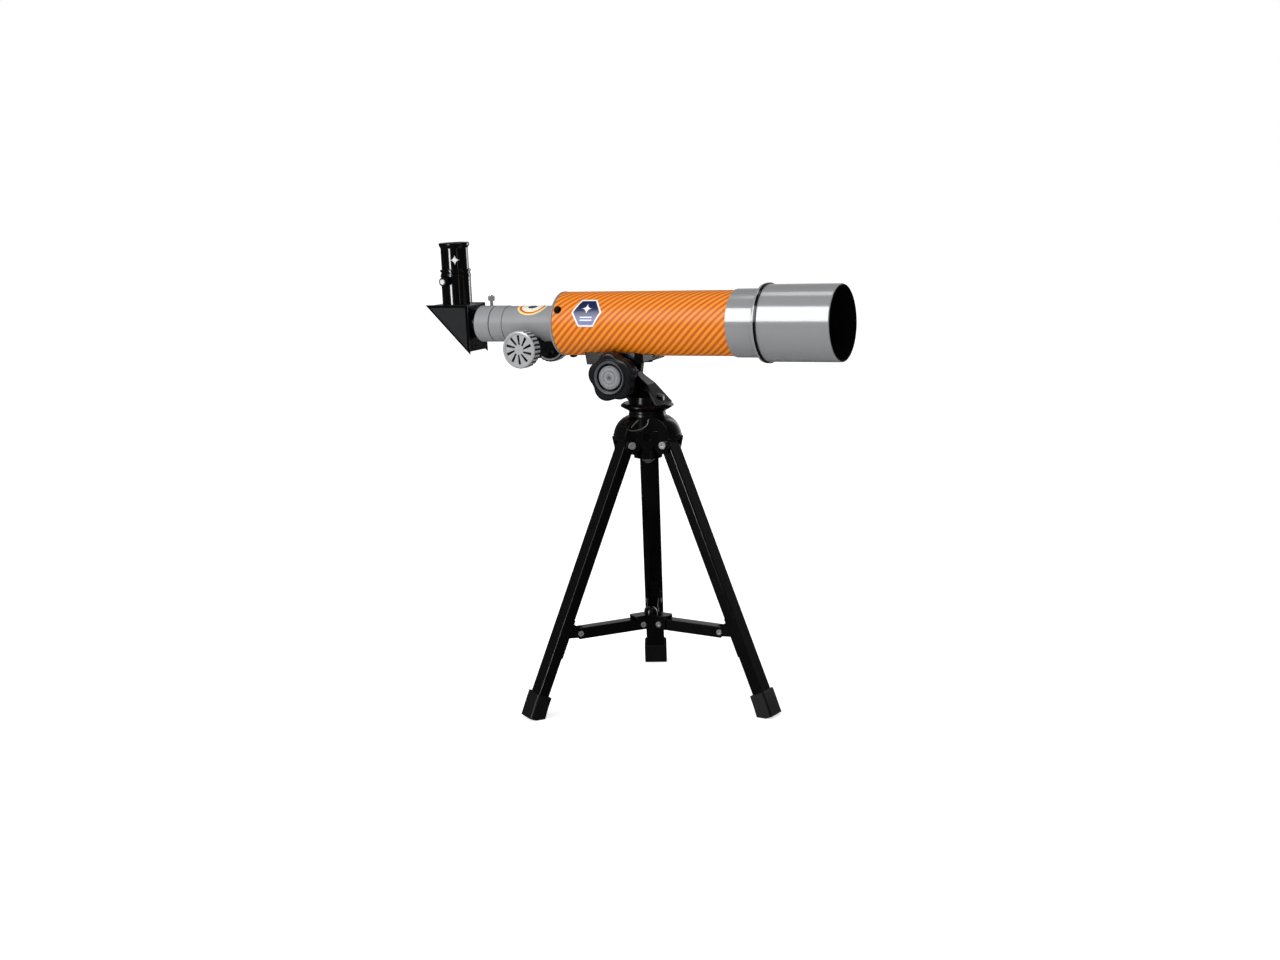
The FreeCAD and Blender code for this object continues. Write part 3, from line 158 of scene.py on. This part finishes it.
def millimetres(tree, origin=(0, 0, 0), turn=(0, 0, 0)):
    """Object coordinates in millimetres about a chosen origin and turn."""
    place = add(tree, "ShaderNodeTexCoord")
    return add(tree, "ShaderNodeMapping", {"Vector": place.outputs["Object"], "Location": origin,
                                           "Rotation": turn, "Scale": (MM, MM, MM)},
               vector_type="TEXTURE").outputs[0]


def mixed(tree, factor, first, second):
    """Colour that goes from first to second with the factor."""
    return add(tree, "ShaderNodeMix", {0: factor, 6: first, 7: second}, data_type="RGBA").outputs[2]


def worked(tree, kind, first, second=0.0, third=0.0):
    """One sum on numbers or sockets."""
    return add(tree, "ShaderNodeMath", {0: first, 1: second, 2: third}, operation=kind).outputs[0]


def split(tree, spot):
    """The three coordinates of a place."""
    return add(tree, "ShaderNodeSeparateXYZ", {"Vector": spot}).outputs


def tube_place(tree):
    """A point in the tube's own frame, in millimetres: the whole vector from the tilt pivot, then
    how far it lies along the tube's axis, across it and above it."""
    spot = millimetres(tree, PIVOT, (0, -PITCH, 0))
    along, across, up = split(tree, spot)
    return spot, along, across, worked(tree, "SUBTRACT", up, AXIS_RISE)


def tube_frame(tree, radius):
    """Distances along and round the tube's axis in millimetres, on a skin of the given radius."""
    _, along, across, above = tube_place(tree)
    angle = worked(tree, "ARCTAN2", above, worked(tree, "MULTIPLY", across, -1.0))
    return along, worked(tree, "MULTIPLY", angle, radius)


def from_cross_axis(tree, spot):
    """Distance from the level axis that runs across the telescope through the spot's origin."""
    about = split(tree, spot)
    flat = add(tree, "ShaderNodeCombineXYZ", {0: about[0], 2: about[2]})
    out = add(tree, "ShaderNodeVectorMath", {0: flat.outputs[0]}, operation="LENGTH")
    return out.outputs["Value"]


def grained(tree, shader, spot, scale, detail, spread, least):
    """Fine grain, scale to the millimetre, that lifts the roughness from least by spread."""
    noise = add(tree, "ShaderNodeTexNoise", {"Vector": spot, "Scale": scale, "Detail": detail})
    tree.links.new(worked(tree, "MULTIPLY_ADD", noise.outputs[0], spread, least),
                   shader.inputs["Roughness"])
    return noise.outputs[0]


def uneven(tree, shader, spot, rough, spread, bump, scale):
    """Slight waviness of a moulded or sprayed skin: roughness wanders about rough by spread,
    and the normal leans by bump metres over patches of scale millimetres. Edges read as broken
    by EDGE_RADIUS, so they catch the light as moulded and folded edges do."""
    noise = add(tree, "ShaderNodeTexNoise", {"Vector": spot, "Scale": 1.0 / scale, "Detail": 4.0})
    level = worked(tree, "MULTIPLY_ADD", noise.outputs[0], 2 * spread, rough - spread)
    tree.links.new(level, shader.inputs["Roughness"])
    fine = add(tree, "ShaderNodeTexNoise", {"Vector": spot, "Scale": 4.0 / scale, "Detail": 3.0})
    edge = add(tree, "ShaderNodeBevel", {"Radius": EDGE_RADIUS}, samples=8)
    lean = add(tree, "ShaderNodeBump", {"Height": fine.outputs[0], "Distance": bump,
                                        "Normal": edge.outputs[0]})
    tree.links.new(lean.outputs[0], shader.inputs["Normal"])
    return noise.outputs[0]


# ---------------------------------------------------------------- finishes

def lacquered_twill():
    """Printed twill film under clear lacquer on a rolled tube: slanting cords 6.672 mm apart
    along the tube and 26 to the turn, rising towards the sky end, each stepped by threads a
    quarter of that wide, as coarse as they need to be to show. Pale cords on deeper orange, a
    broad sheen over them, a bare rim behind."""
    material, tree, shader = finish_of("twill film under lacquer", Roughness=0.5, IOR=1.5,
                                       Specular_IOR_Level=0.1, Coat_Weight=0.6, Coat_Roughness=0.33)
    along, around = tube_frame(tree, TUBE_RADIUS)
    pitch = 6.672
    slope = 26 / TUBE_RADIUS
    phase = worked(tree, "MULTIPLY_ADD", along, 2 * math.pi / pitch,
                   worked(tree, "MULTIPLY", around, -slope))
    ridge = worked(tree, "SINE", phase)
    warp = worked(tree, "SINE", worked(tree, "MULTIPLY", along, 8 * math.pi / pitch))
    weft = worked(tree, "SINE", worked(tree, "MULTIPLY", around, 4 * slope))
    thread = worked(tree, "MULTIPLY", warp, weft)
    height = worked(tree, "MULTIPLY_ADD", thread, 0.45, ridge)
    share = worked(tree, "MULTIPLY_ADD", height, 0.42, 0.5)
    film = mixed(tree, share, colour("#C44802"), colour("#FFA428"))
    patch = add(tree, "ShaderNodeTexNoise",
                {"Vector": millimetres(tree), "Scale": 0.05, "Detail": 3.0})
    film = mixed(tree, worked(tree, "MULTIPLY", patch.outputs[0], 0.12), film, colour("#E25C06"))
    rim = worked(tree, "LESS_THAN", along, FILM_REAR)
    tree.links.new(mixed(tree, rim, film, colour("#77787A")), shader.inputs["Base Color"])
    bump = add(tree, "ShaderNodeBump", {"Height": height, "Distance": 0.00022, "Strength": 0.75})
    tree.links.new(bump.outputs[0], shader.inputs["Normal"])
    return material


def silver_lacquer():
    """Silver-grey metallic lacquer sprayed on turned aluminium: fine flake, soft gloss outside.
    The bores, which end 30.6 mm from the axis in the shield and 26.6 mm in the cell, are flat
    black against stray light, and a black line runs round the shield's raised rim."""
    material, tree, shader = finish_of("silver lacquer on aluminium", IOR=1.5, Coat_Weight=0.35,
                                       Coat_Roughness=0.05)
    spot, along, across, above = tube_place(tree)
    out = worked(tree, "SQRT", worked(tree, "MULTIPLY_ADD", above, above,
                                      worked(tree, "MULTIPLY", across, across)))
    on_cell = worked(tree, "LESS_THAN", along, CELL_FRONT)
    wall = worked(tree, "GREATER_THAN", worked(tree, "MULTIPLY_ADD", on_cell, 4.0, out), 30.6)
    flake = add(tree, "ShaderNodeTexVoronoi", {"Vector": spot, "Scale": 2.2})
    tone = worked(tree, "MULTIPLY", flake.outputs["Distance"], 0.5)
    paint = mixed(tree, tone, colour("#ACADB0"), colour("#BEBFC1"))
    line = worked(tree, "MULTIPLY", worked(tree, "GREATER_THAN", out, SHIELD_RIM),
                  worked(tree, "GREATER_THAN", along, CELL_FRONT + 2.3))
    paint = mixed(tree, line, paint, colour("#030303"))
    tree.links.new(mixed(tree, wall, colour("#020202"), paint), shader.inputs["Base Color"])
    bare = worked(tree, "MULTIPLY", wall, worked(tree, "SUBTRACT", 1.0, line))
    tree.links.new(worked(tree, "MULTIPLY", bare, 0.4), shader.inputs["Metallic"])
    cloud = add(tree, "ShaderNodeTexNoise", {"Vector": spot, "Scale": 1 / 30, "Detail": 3.0})
    sprayed = worked(tree, "MULTIPLY_ADD", cloud.outputs[0], 0.05, 0.13)
    rough = worked(tree, "MULTIPLY_ADD", wall, worked(tree, "SUBTRACT", sprayed, 0.9), 0.9)
    tree.links.new(rough, shader.inputs["Roughness"])
    return material


def moulded(name, deep, pale, rough, spread, bump=0.000012, scale=14.0, **sockets):
    """Injection-moulded or sprayed skin: colour drifts between two close tones, with a faint
    orange peel and a roughness that wanders a little."""
    material, tree, shader = finish_of(name, **sockets)
    wander = uneven(tree, shader, millimetres(tree), rough, spread, bump, scale)
    tree.links.new(mixed(tree, wander, colour(deep), colour(pale)), shader.inputs["Base Color"])
    return material


def turned_metal(name, deep, pale, rough, **sockets):
    """Plated or bare metal turned on a lathe: faint tool marks about 0.5 mm across."""
    material, tree, shader = finish_of(name, Metallic=0.8, **sockets)
    marks = grained(tree, shader, millimetres(tree), 1.8, 2.0, 0.08, rough - 0.04)
    tree.links.new(mixed(tree, marks, colour(deep), colour(pale)), shader.inputs["Base Color"])
    return material


def woven_panel():
    """Gloss black moulding whose sunken panel has a fine woven texture, cords 1.6 mm apart."""
    material, tree, shader = finish_of("black moulding with woven panel", IOR=1.5)
    along, across, up = split(tree, millimetres(tree, PIVOT, (0, -PITCH, 0)))
    sunk = worked(tree, "LESS_THAN", worked(tree, "ABSOLUTE", across), 14.85)
    rise, fall = (worked(tree, "SINE", worked(tree, "MULTIPLY", worked(tree, kind, along, up), 3.9))
                  for kind in ("ADD", "SUBTRACT"))
    weave = worked(tree, "MULTIPLY", worked(tree, "MULTIPLY", rise, fall), sunk)
    share = worked(tree, "MULTIPLY_ADD", weave, 0.5, worked(tree, "MULTIPLY", sunk, 0.5))
    tree.links.new(mixed(tree, share, colour("#050505"), colour("#2E3034")),
                   shader.inputs["Base Color"])
    tree.links.new(worked(tree, "MULTIPLY_ADD", sunk, 0.24, 0.16), shader.inputs["Roughness"])
    edge = add(tree, "ShaderNodeBevel", {"Radius": EDGE_RADIUS}, samples=8)
    bump = add(tree, "ShaderNodeBump", {"Height": weave, "Distance": 0.00016, "Strength": 0.8,
                                        "Normal": edge.outputs[0]})
    tree.links.new(bump.outputs[0], shader.inputs["Normal"])
    return material


def wheel_plating():
    """Vacuum-metallised hand wheel: bright face and ribs; painted shade colours its slots and grooves near
    black and less metallic.
    """
    material, tree, shader = finish_of("metallised wheel", IOR=1.5)
    axle = tube_to_world(np.array([WHEEL_STATION, 0, -WHEEL_DROP])) * MM
    spot = millimetres(tree, tuple(axle))
    out = from_cross_axis(tree, spot)
    depth = worked(tree, "ABSOLUTE", split(tree, spot)[1])
    # painted shade: the sunken floors and walls of the slots are coloured near black
    slot_shade = worked(tree, "MULTIPLY", worked(tree, "LESS_THAN", depth, 30.0),
                  worked(tree, "LESS_THAN", out, 13.4))
    valley = worked(tree, "MULTIPLY", worked(tree, "LESS_THAN", out, 15.95),
                    worked(tree, "GREATER_THAN", out, 14.7))
    # painted shade: the groove round the rim is coloured near black
    groove_shade = worked(tree, "MULTIPLY", valley, worked(tree, "LESS_THAN", depth, 30.1))
    dark = worked(tree, "MAXIMUM", slot_shade, groove_shade)
    # painted shade in the recesses: near black and less metallic there
    tree.links.new(mixed(tree, dark, colour("#D9DADC"), colour("#0C0C0E")),
                   shader.inputs["Base Color"])
    tree.links.new(worked(tree, "MULTIPLY_ADD", dark, -0.5, 0.5), shader.inputs["Metallic"])
    grain = grained(tree, shader, spot, 0.6, 3.0, 0.1, 0.25)
    bump = add(tree, "ShaderNodeBump", {"Height": grain, "Distance": 0.00002})
    tree.links.new(bump.outputs[0], shader.inputs["Normal"])
    return material


def grooved_knob():
    """Soft-touch moulded knob, its skin a dark grey: painted shade colours the groove round its cap
    black, and a painted highlight colours the bead outside that groove a paler grey."""
    material, tree, shader = finish_of("soft-touch knob moulding", IOR=1.5)
    spot = millimetres(tree, PIVOT)
    wander = uneven(tree, shader, spot, 0.26, 0.05, 0.000008, 3.0)
    out = from_cross_axis(tree, spot)
    skin = mixed(tree, wander, colour("#121315"), colour("#1C1E21"))
    groove_edge, bead_edge = 11.9, 13.5
    # painted highlight: the ring of the bead is coloured a paler grey
    bead_highlight = worked(tree, "MULTIPLY", worked(tree, "GREATER_THAN", out, groove_edge),
                  worked(tree, "LESS_THAN", out, bead_edge))
    skin = mixed(tree, bead_highlight, skin, colour("#5A5D61"))
    # painted shade: the groove round the cap is coloured black
    groove_shade = worked(tree, "LESS_THAN", out, groove_edge)
    tree.links.new(mixed(tree, groove_shade, skin, colour("#020202")), shader.inputs["Base Color"])
    return material


def ringed_cap():
    """Satin grey moulded cap: shallow rings 3.1 mm apart about its middle, darker in the dimple
    at its centre, 1.6 mm in radius."""
    material, tree, shader = finish_of("ringed grey cap", IOR=1.5)
    spot = millimetres(tree, PIVOT)
    out = from_cross_axis(tree, spot)
    rings = worked(tree, "SINE", worked(tree, "MULTIPLY", out, 2 * math.pi / 3.1))
    grain = grained(tree, shader, spot, 0.6, 3.0, 0.12, 0.3)
    tone = worked(tree, "MULTIPLY_ADD", rings, 0.3, grain)
    paint = mixed(tree, tone, colour("#6C6E71"), colour("#96989B"))
    dimple = worked(tree, "LESS_THAN", out, 1.6)
    tree.links.new(mixed(tree, dimple, paint, colour("#55575A")), shader.inputs["Base Color"])
    bump = add(tree, "ShaderNodeBump", {"Height": rings, "Distance": 0.00015, "Strength": 0.8})
    tree.links.new(bump.outputs[0], shader.inputs["Normal"])
    return material


def tipped_screw():
    """Blackened thumbscrew whose turned end, more than 21.95 mm from the telescope's middle, is
    bright."""
    material, tree, shader = finish_of("black thumbscrew with bright end", Metallic=0.4)
    spot = millimetres(tree)
    tip = worked(tree, "LESS_THAN", split(tree, spot)[1], -21.95)
    grain = grained(tree, shader, spot, 1.8, 2.0, 0.1, 0.2)
    plate = mixed(tree, grain, colour("#C9CACC"), colour("#E9E9EA"))
    tree.links.new(mixed(tree, tip, colour("#0D0D0E"), plate), shader.inputs["Base Color"])
    return material


def coated_glass():
    """Crown glass with a faint magenta-green coating, seen mostly by its reflections."""
    material, tree, shader = finish_of("coated lens glass", IOR=1.52, Transmission_Weight=0.9,
                                       Coat_Weight=0.4, Coat_Roughness=0.02)
    tint = grained(tree, shader, millimetres(tree), 0.04, 1.0, 0.03, 0.0)
    tree.links.new(mixed(tree, tint, colour("#CFE3DC"), colour("#D8D2E6")),
                   shader.inputs["Base Color"])
    return material


def badge_print():
    """Printed vinyl badge: white border 1.4 mm wide, night-sky blue fading to lavender, and a
    four-pointed star over two pale bars."""
    material, tree, shader = finish_of("printed vinyl badge", Coat_Weight=0.6, Coat_Roughness=0.08)
    along, around = tube_frame(tree, TUBE_RADIUS)
    a = worked(tree, "SUBTRACT", along, BADGE_STATION)
    b = worked(tree, "SUBTRACT", around, TUBE_RADIUS * math.radians(BADGE_HEIGHT))
    wide, tall = worked(tree, "ABSOLUTE", a), worked(tree, "ABSOLUTE", b)
    slope = worked(tree, "MULTIPLY_ADD", wide, math.cos(math.pi / 6),
                   worked(tree, "MULTIPLY", tall, 0.5))
    edge = worked(tree, "GREATER_THAN", worked(tree, "MAXIMUM", tall, slope), 10.9)
    fade = worked(tree, "MULTIPLY_ADD", b, -1 / 13.0, 0.06)
    field = mixed(tree, fade, colour("#101E50"), colour("#8F97CF"))
    up = worked(tree, "ABSOLUTE", worked(tree, "SUBTRACT", b, 3.2))
    bowed = worked(tree, "ADD", worked(tree, "SQRT", wide), worked(tree, "SQRT", up))
    star = worked(tree, "LESS_THAN", bowed, 2.35)
    low = worked(tree, "ABSOLUTE", worked(tree, "ADD", b, 5.6))
    low = worked(tree, "ABSOLUTE", worked(tree, "SUBTRACT", low, 1.2))
    bars = worked(tree, "MULTIPLY", worked(tree, "LESS_THAN", low, 0.45),
                  worked(tree, "LESS_THAN", wide, 5.6))
    mark = worked(tree, "MAXIMUM", star, worked(tree, "MAXIMUM", bars, edge))
    tree.links.new(mixed(tree, mark, field, colour("#F1F1F4")), shader.inputs["Base Color"])
    grained(tree, shader, millimetres(tree), 0.5, 2.0, 0.1, 0.28)
    return material


def oval_print():
    """Printed paper oval. Rings from its middle out, by share of its reach: a blue disc, cream,
    red, yellow, and a thin white border."""
    material, tree, shader = finish_of("printed oval label", Coat_Weight=0.5, Coat_Roughness=0.1)
    along, around = tube_frame(tree, HOUSING_RADIUS)
    a = worked(tree, "SUBTRACT", along, OVAL_STATION)
    b = worked(tree, "SUBTRACT", around, HOUSING_RADIUS * math.radians(OVAL_HEIGHT))
    wide, tall = (worked(tree, "MULTIPLY", line, 1 / half) for line, half in zip((a, b), OVAL_HALF))
    out = worked(tree, "SQRT", worked(tree, "ADD", worked(tree, "MULTIPLY", wide, wide),
                                      worked(tree, "MULTIPLY", tall, tall)))
    face = colour("#33426E")
    for share, ink in ((0.30, "#F6EFD8"), (0.72, "#D8392B"), (0.84, "#F4D33C"), (0.955, "#F6F6F2")):
        face = mixed(tree, worked(tree, "GREATER_THAN", out, share), face, colour(ink))
    tree.links.new(face, shader.inputs["Base Color"])
    grained(tree, shader, millimetres(tree), 0.5, 2.0, 0.1, 0.3)
    return material


def star_ink():
    """White pad-printed four-pointed star; the ink film is slightly uneven."""
    return moulded("white pad print", "#E8E8EA", "#F8F8F8", 0.4, 0.05)


# ---------------------------------------------------------------- dressing the CAD nodes

def dress():
    """Gives every CAD node its finish."""
    gloss_black = moulded("gloss black moulding", "#030303", "#060607", 0.12, 0.03, IOR=1.5)
    satin_black = moulded("satin black moulding", "#040405", "#09090A", 0.24, 0.06, 0.00002, 6.0,
                          Specular_IOR_Level=0.3)
    arm_black = moulded("smooth black arm moulding", "#040405", "#08080A", 0.2, 0.05, 0.00001, 9.0,
                        Specular_IOR_Level=0.14)
    hub_black = moulded("dome black moulding", "#040404", "#080707", 0.2, 0.04, 0.00001, 9.0)
    grey = moulded("light grey moulding", "#8B8D90", "#959799", 0.3, 0.05, 0.000012, 12.0, IOR=1.5)
    paint = moulded("black enamelled leg", "#030303", "#070707", 0.14, 0.04, 0.000015, 10.0, IOR=1.4)
    rubber = moulded("black foot rubber", "#060606", "#0E0E0E", 0.5, 0.08, 0.00004, 2.5,
                     Specular_IOR_Level=0.3)
    flock = moulded("anti-reflection flock", "#020202", "#050505", 0.9, 0.05, 0.00005, 1.2)
    chrome = turned_metal("bright nickel plate", "#D2D2D4", "#EDEDEE", 0.14)
    steel = turned_metal("plain steel", "#8A8A8C", "#A5A5A7", 0.3)
    blackened = turned_metal("blackened screw", "#101012", "#1C1C1F", 0.28)
    brass = turned_metal("machined brass", "#A98B46", "#C9AC62", 0.3)
    finishes = {
        lacquered_twill(): ["main_tube"],
        silver_lacquer(): ["dew_shield", "objective_cell", "dew_shield_band"],
        grey: ["focuser_housing", "drawtube", "socket_ring"],
        gloss_black: ["diagonal_body", "eyepiece_barrel"],
        woven_panel(): ["diagonal_side_covers"],
        satin_black: ["gearbox", "diagonal_back_plate", "saddle", "pan_ring"],
        arm_black: ["mount_head"],
        hub_black: ["tripod_hub", "spreader_cap"],
        grooved_knob(): ["altitude_knob"],
        ringed_cap(): ["altitude_knob_cap"],
        tipped_screw(): ["eyepiece_thumbscrew"],
        wheel_plating(): ["focus_wheel_right", "focus_wheel_left"],
        flock: ["light_baffles", "field_stop", "lens_retainer"],
        paint: ["leg_1", "leg_2", "leg_3", "leg_bracket_1", "leg_bracket_2", "leg_bracket_3",
                "spreader_arm_1", "spreader_arm_2", "spreader_arm_3", "spreader_hub"],
        rubber: ["foot_1", "foot_2", "foot_3"],
        chrome: ["socket_thumbscrew", "leg_pivot_pins", "arm_rivet_1", "arm_rivet_2",
                 "arm_rivet_3", "spreader_rivets", "focus_shaft", "diagonal_mirror"],
        steel: ["altitude_bolt", "pan_bolt"],
        blackened: ["tube_screws", "saddle_screws", "gearbox_screws", "hub_screws"],
        brass: ["focus_rack", "pinion", "lens_spacer"],
        coated_glass(): ["crown_lens", "flint_lens", "eye_lens", "field_lens"],
    }
    for material, names in finishes.items():
        for name in names:
            slots = nodes[name].data.materials
            slots.clear()
            slots.append(material)


# ---------------------------------------------------------------- labels

def labels():
    """Badge on the tube, oval label on the focuser barrel, star on the eyepiece."""
    def hexagon(turn):
        """Distance to a regular hexagon's side: apothem over the cosine of the turn from it."""
        fold = np.mod(turn, math.pi / 3) - math.pi / 6
        return BADGE_CORNER * math.cos(math.pi / 6) / np.cos(fold)

    def oval(turn):
        """Distance to an ellipse: one over the root of (cos/half length)^2 + (sin/half width)^2."""
        return 1 / np.sqrt((np.cos(turn) / OVAL_HALF[0]) ** 2 + (np.sin(turn) / OVAL_HALF[1]) ** 2)

    def star(turn):
        """Distance to a four-pointed star whose sides bow in: (|cos|^0.6 + |sin|^0.6)^(-1/0.6)."""
        return 4.4 * (np.abs(np.cos(turn)) ** 0.6 + np.abs(np.sin(turn)) ** 0.6) ** (-1 / 0.6)

    badge = label("sky_badge", hexagon, TUBE_RADIUS, BADGE_STATION, BADGE_HEIGHT, LABEL_THICKNESS)
    badge.data.materials.append(badge_print())
    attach(badge, "tube")
    oval_label = label("oval_label", oval, HOUSING_RADIUS, OVAL_STATION, OVAL_HEIGHT, LABEL_THICKNESS)
    oval_label.data.materials.append(oval_print())
    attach(oval_label, "tube")
    mark = label("eyepiece_star", star, EYEPIECE_RADIUS, 56.2, -58, 0.1, upright=True)
    mark.data.materials.append(star_ink())
    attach(mark, "eyepiece")


def hub_ridges():
    """Cast ridges on the hub's three faces, coloured a mid grey lighter than the black hub as a
    painted highlight along its edges. Each is a round bead 1.2 mm thick along a curve whose x, y
    and z are polynomials in t from 0 to 1 through the listed points; its radius is
    0.6*(1 - (2t - 1)^8)^0.5, so both ends close. The other two faces turn it by 120 degrees."""
    paths = (((8.6, -13.1, 245.2), (7.4, -13.7, 242.1), (5.5, -14.7, 238.7), (0.0, -18.6, 235.9),
              (-5.3, -25.6, 237.3)),
             ((1.1, -17.4, 244.8), (-1.5, -20.1, 241.8), (-3.7, -22.9, 238.3)))
    # painted highlight: the ridges are mid grey, lighter than the hub, so that they draw bright lines
    ridge_highlight_grey = moulded("cast hub ridge", "#3C3C3E", "#4A4A4C", 0.22, 0.03, 0.00001, 9.0,
                          Coat_Weight=0.8, Coat_Roughness=0.05)
    t = np.linspace(0, 1, 49)
    turn = np.linspace(0, 2 * math.pi, 13)[:-1]
    thick = 0.6 * np.sqrt(np.maximum(0, 1 - (2 * t - 1) ** 8))
    beads = []
    for index, path in enumerate(paths):
        knots = np.array(path)
        share = np.linspace(0, 1, len(knots))
        line = np.stack([np.polyval(np.polyfit(share, knots[:, i], len(knots) - 1), t)
                         for i in range(3)], axis=-1)
        way = np.gradient(line, axis=0)
        way /= np.linalg.norm(way, axis=1, keepdims=True)
        beside = np.cross(way, (0.3, -0.9, 0.3))
        beside /= np.linalg.norm(beside, axis=1, keepdims=True)
        over = np.cross(beside, way)
        ring = (np.cos(turn)[None, :, None] * beside[:, None]
                + np.sin(turn)[None, :, None] * over[:, None])
        grid = line[:, None] + thick[:, None, None] * ring
        for face in range(3):
            c, d = math.cos(face * 2 * math.pi / 3), math.sin(face * 2 * math.pi / 3)
            spun = np.stack([c * grid[..., 0] - d * grid[..., 1], d * grid[..., 0] + c * grid[..., 1],
                             grid[..., 2]], axis=-1)
            bead_highlight = piece("hub_ridge_%d" % (3 * index + face + 1), spun)
            bead_highlight.data.materials.append(ridge_highlight_grey)
            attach(bead_highlight, "tripod")
            beads.append(bead_highlight)
    return beads


# ---------------------------------------------------------------- studio

def floor_paper():
    """White background paper, lit from below like a light table, so that it stays white in the
    open and the gloss finishes mirror it only faintly."""
    material, tree, shader = finish_of("white background paper", Roughness=0.85)
    path = add(tree, "ShaderNodeLightPath").outputs
    grain = add(tree, "ShaderNodeTexNoise", {"Vector": millimetres(tree), "Scale": 0.02, "Detail": 3.0})
    pale = mixed(tree, grain.outputs[0], colour("#EDEDED"), colour("#F2F2F2"))
    seen = mixed(tree, path["Is Glossy Ray"], pale, colour("#3A3A3A"))
    tree.links.new(seen, shader.inputs["Base Color"])
    shader.inputs["Emission Color"].default_value = (1, 1, 1, 1)
    tree.links.new(worked(tree, "MULTIPLY", path["Is Camera Ray"], 0.6), shader.inputs["Emission Strength"])
    return material


def surround():
    """White surround, brighter on the key side. Mirrored in gloss it is dark but for a soft rim
    behind the telescope, so black pieces stay black."""
    world = bpy.data.worlds.new("studio")
    bpy.context.scene.world = world
    world.use_nodes = True
    tree = world.node_tree
    tree.nodes.clear()
    path = add(tree, "ShaderNodeLightPath").outputs
    way = add(tree, "ShaderNodeTexCoord").outputs["Generated"]

    def facing(direction):
        """How far a ray goes in the given direction, and nothing if it goes away from it."""
        dot = add(tree, "ShaderNodeVectorMath", {0: way, 1: direction}, operation="DOT_PRODUCT")
        return worked(tree, "MAXIMUM", dot.outputs["Value"], 0.0)

    lit = worked(tree, "MULTIPLY_ADD", facing((-0.25, -0.83, 0.5)), 0.55, 0.46)
    rim = worked(tree, "POWER", facing((-0.1, 0.995, 0.0)), 9.0)
    mirrored = worked(tree, "MULTIPLY_ADD", rim, 0.8, 0.05)
    soft = worked(tree, "MULTIPLY", path["Is Diffuse Ray"], worked(tree, "SUBTRACT", lit, mirrored))
    unseen = worked(tree, "ADD", soft, mirrored)
    strength = worked(tree, "MULTIPLY_ADD", path["Is Camera Ray"],
                      worked(tree, "SUBTRACT", 1.0, unseen), unseen)
    back = add(tree, "ShaderNodeBackground", {"Color": (1, 1, 1, 1), "Strength": strength})
    add(tree, "ShaderNodeOutputWorld", {"Surface": back.outputs[0]})


def lamps(ridges):
    """Four softboxes on everything, and two low strips that light only the gloss black pieces
    and the hub's ridges, so that their edges draw bright lines."""
    dark = bpy.data.collections.new("gloss black pieces")
    for name in ("eyepiece_barrel", "diagonal_body", "spreader_hub", "spreader_cap", "saddle",
                 "mount_head", "pan_ring", "leg_1", "leg_2", "leg_3", "leg_bracket_1",
                 "leg_bracket_2", "leg_bracket_3", "spreader_arm_1", "spreader_arm_2",
                 "spreader_arm_3", "foot_1", "foot_2", "foot_3", "eyepiece_thumbscrew",
                 "leg_pivot_pins"):
        dark.objects.link(nodes[name])
    for ridge in ridges:
        dark.objects.link(ridge)
    aim = Vector((0, 0, 0.3))
    for name, place, size, power, only in (
            ("key softbox", (-0.6, -1.35, 1.14), (0.85, 1.25), 11.5, None),
            ("side strip", (1.05, -0.95, 0.55), (0.08, 1.2), 0.4, None),
            ("top softbox", (0.0, 0.25, 1.8), (1.2, 0.4), 2.0, None),
            ("back strip", (0.1, 1.5, 0.7), (0.25, 1.2), 1.5, None),
            ("low left strip", (-0.42, -1.3, 0.12), (0.26, 0.75), 14.0, dark),
            ("low back strip", (0.35, 1.25, 0.2), (0.16, 0.9), 4.0, dark)):
        data = bpy.data.lights.new(name, "AREA")
        data.shape = "RECTANGLE"
        data.size, data.size_y = size
        data.energy = power
        lamp = bpy.data.objects.new(name, data)
        lamp.location = place
        lamp.rotation_euler = (aim - Vector(place)).to_track_quat("-Z", "Y").to_euler()
        bpy.context.scene.collection.objects.link(lamp)
        if only:
            lamp.light_linking.receiver_collection = only


def viewpoint():
    """Camera in front of the telescope on the user's right and a little above it, aimed by its
    azimuth, rise and roll."""
    azimuth, rise, roll = (math.radians(angle) for angle in (27.185, 10.379, -1.162))
    back_way = Vector((math.sin(azimuth) * math.cos(rise), -math.cos(azimuth) * math.cos(rise),
                       math.sin(rise)))
    right = Vector((math.cos(azimuth), math.sin(azimuth), 0))
    upward = back_way.cross(right)
    side = math.cos(roll) * right + math.sin(roll) * upward
    upright = -math.sin(roll) * right + math.cos(roll) * upward
    lens = bpy.data.cameras.new("studio camera")
    lens.lens = 52.69
    lens.sensor_width = 36
    camera = bpy.data.objects.new("studio camera", lens)
    bpy.context.scene.collection.objects.link(camera)
    camera.matrix_world = Matrix.Translation((0.70735, -1.39326, 0.47681)) @ Matrix(
        (side, upright, back_way)).transposed().to_4x4()
    bpy.context.scene.camera = camera


def studio(ridges):
    """Pale floor, surround, lamps and camera."""
    bpy.ops.mesh.primitive_plane_add(size=12, location=(0, 0, -0.0002))
    floor = bpy.context.object
    floor.name = "studio_floor"
    floor.data.materials.append(floor_paper())
    surround()
    lamps(ridges)
    viewpoint()
    bpy.context.scene.view_settings.view_transform = "Standard"


dress()
labels()
studio(hub_ridges())
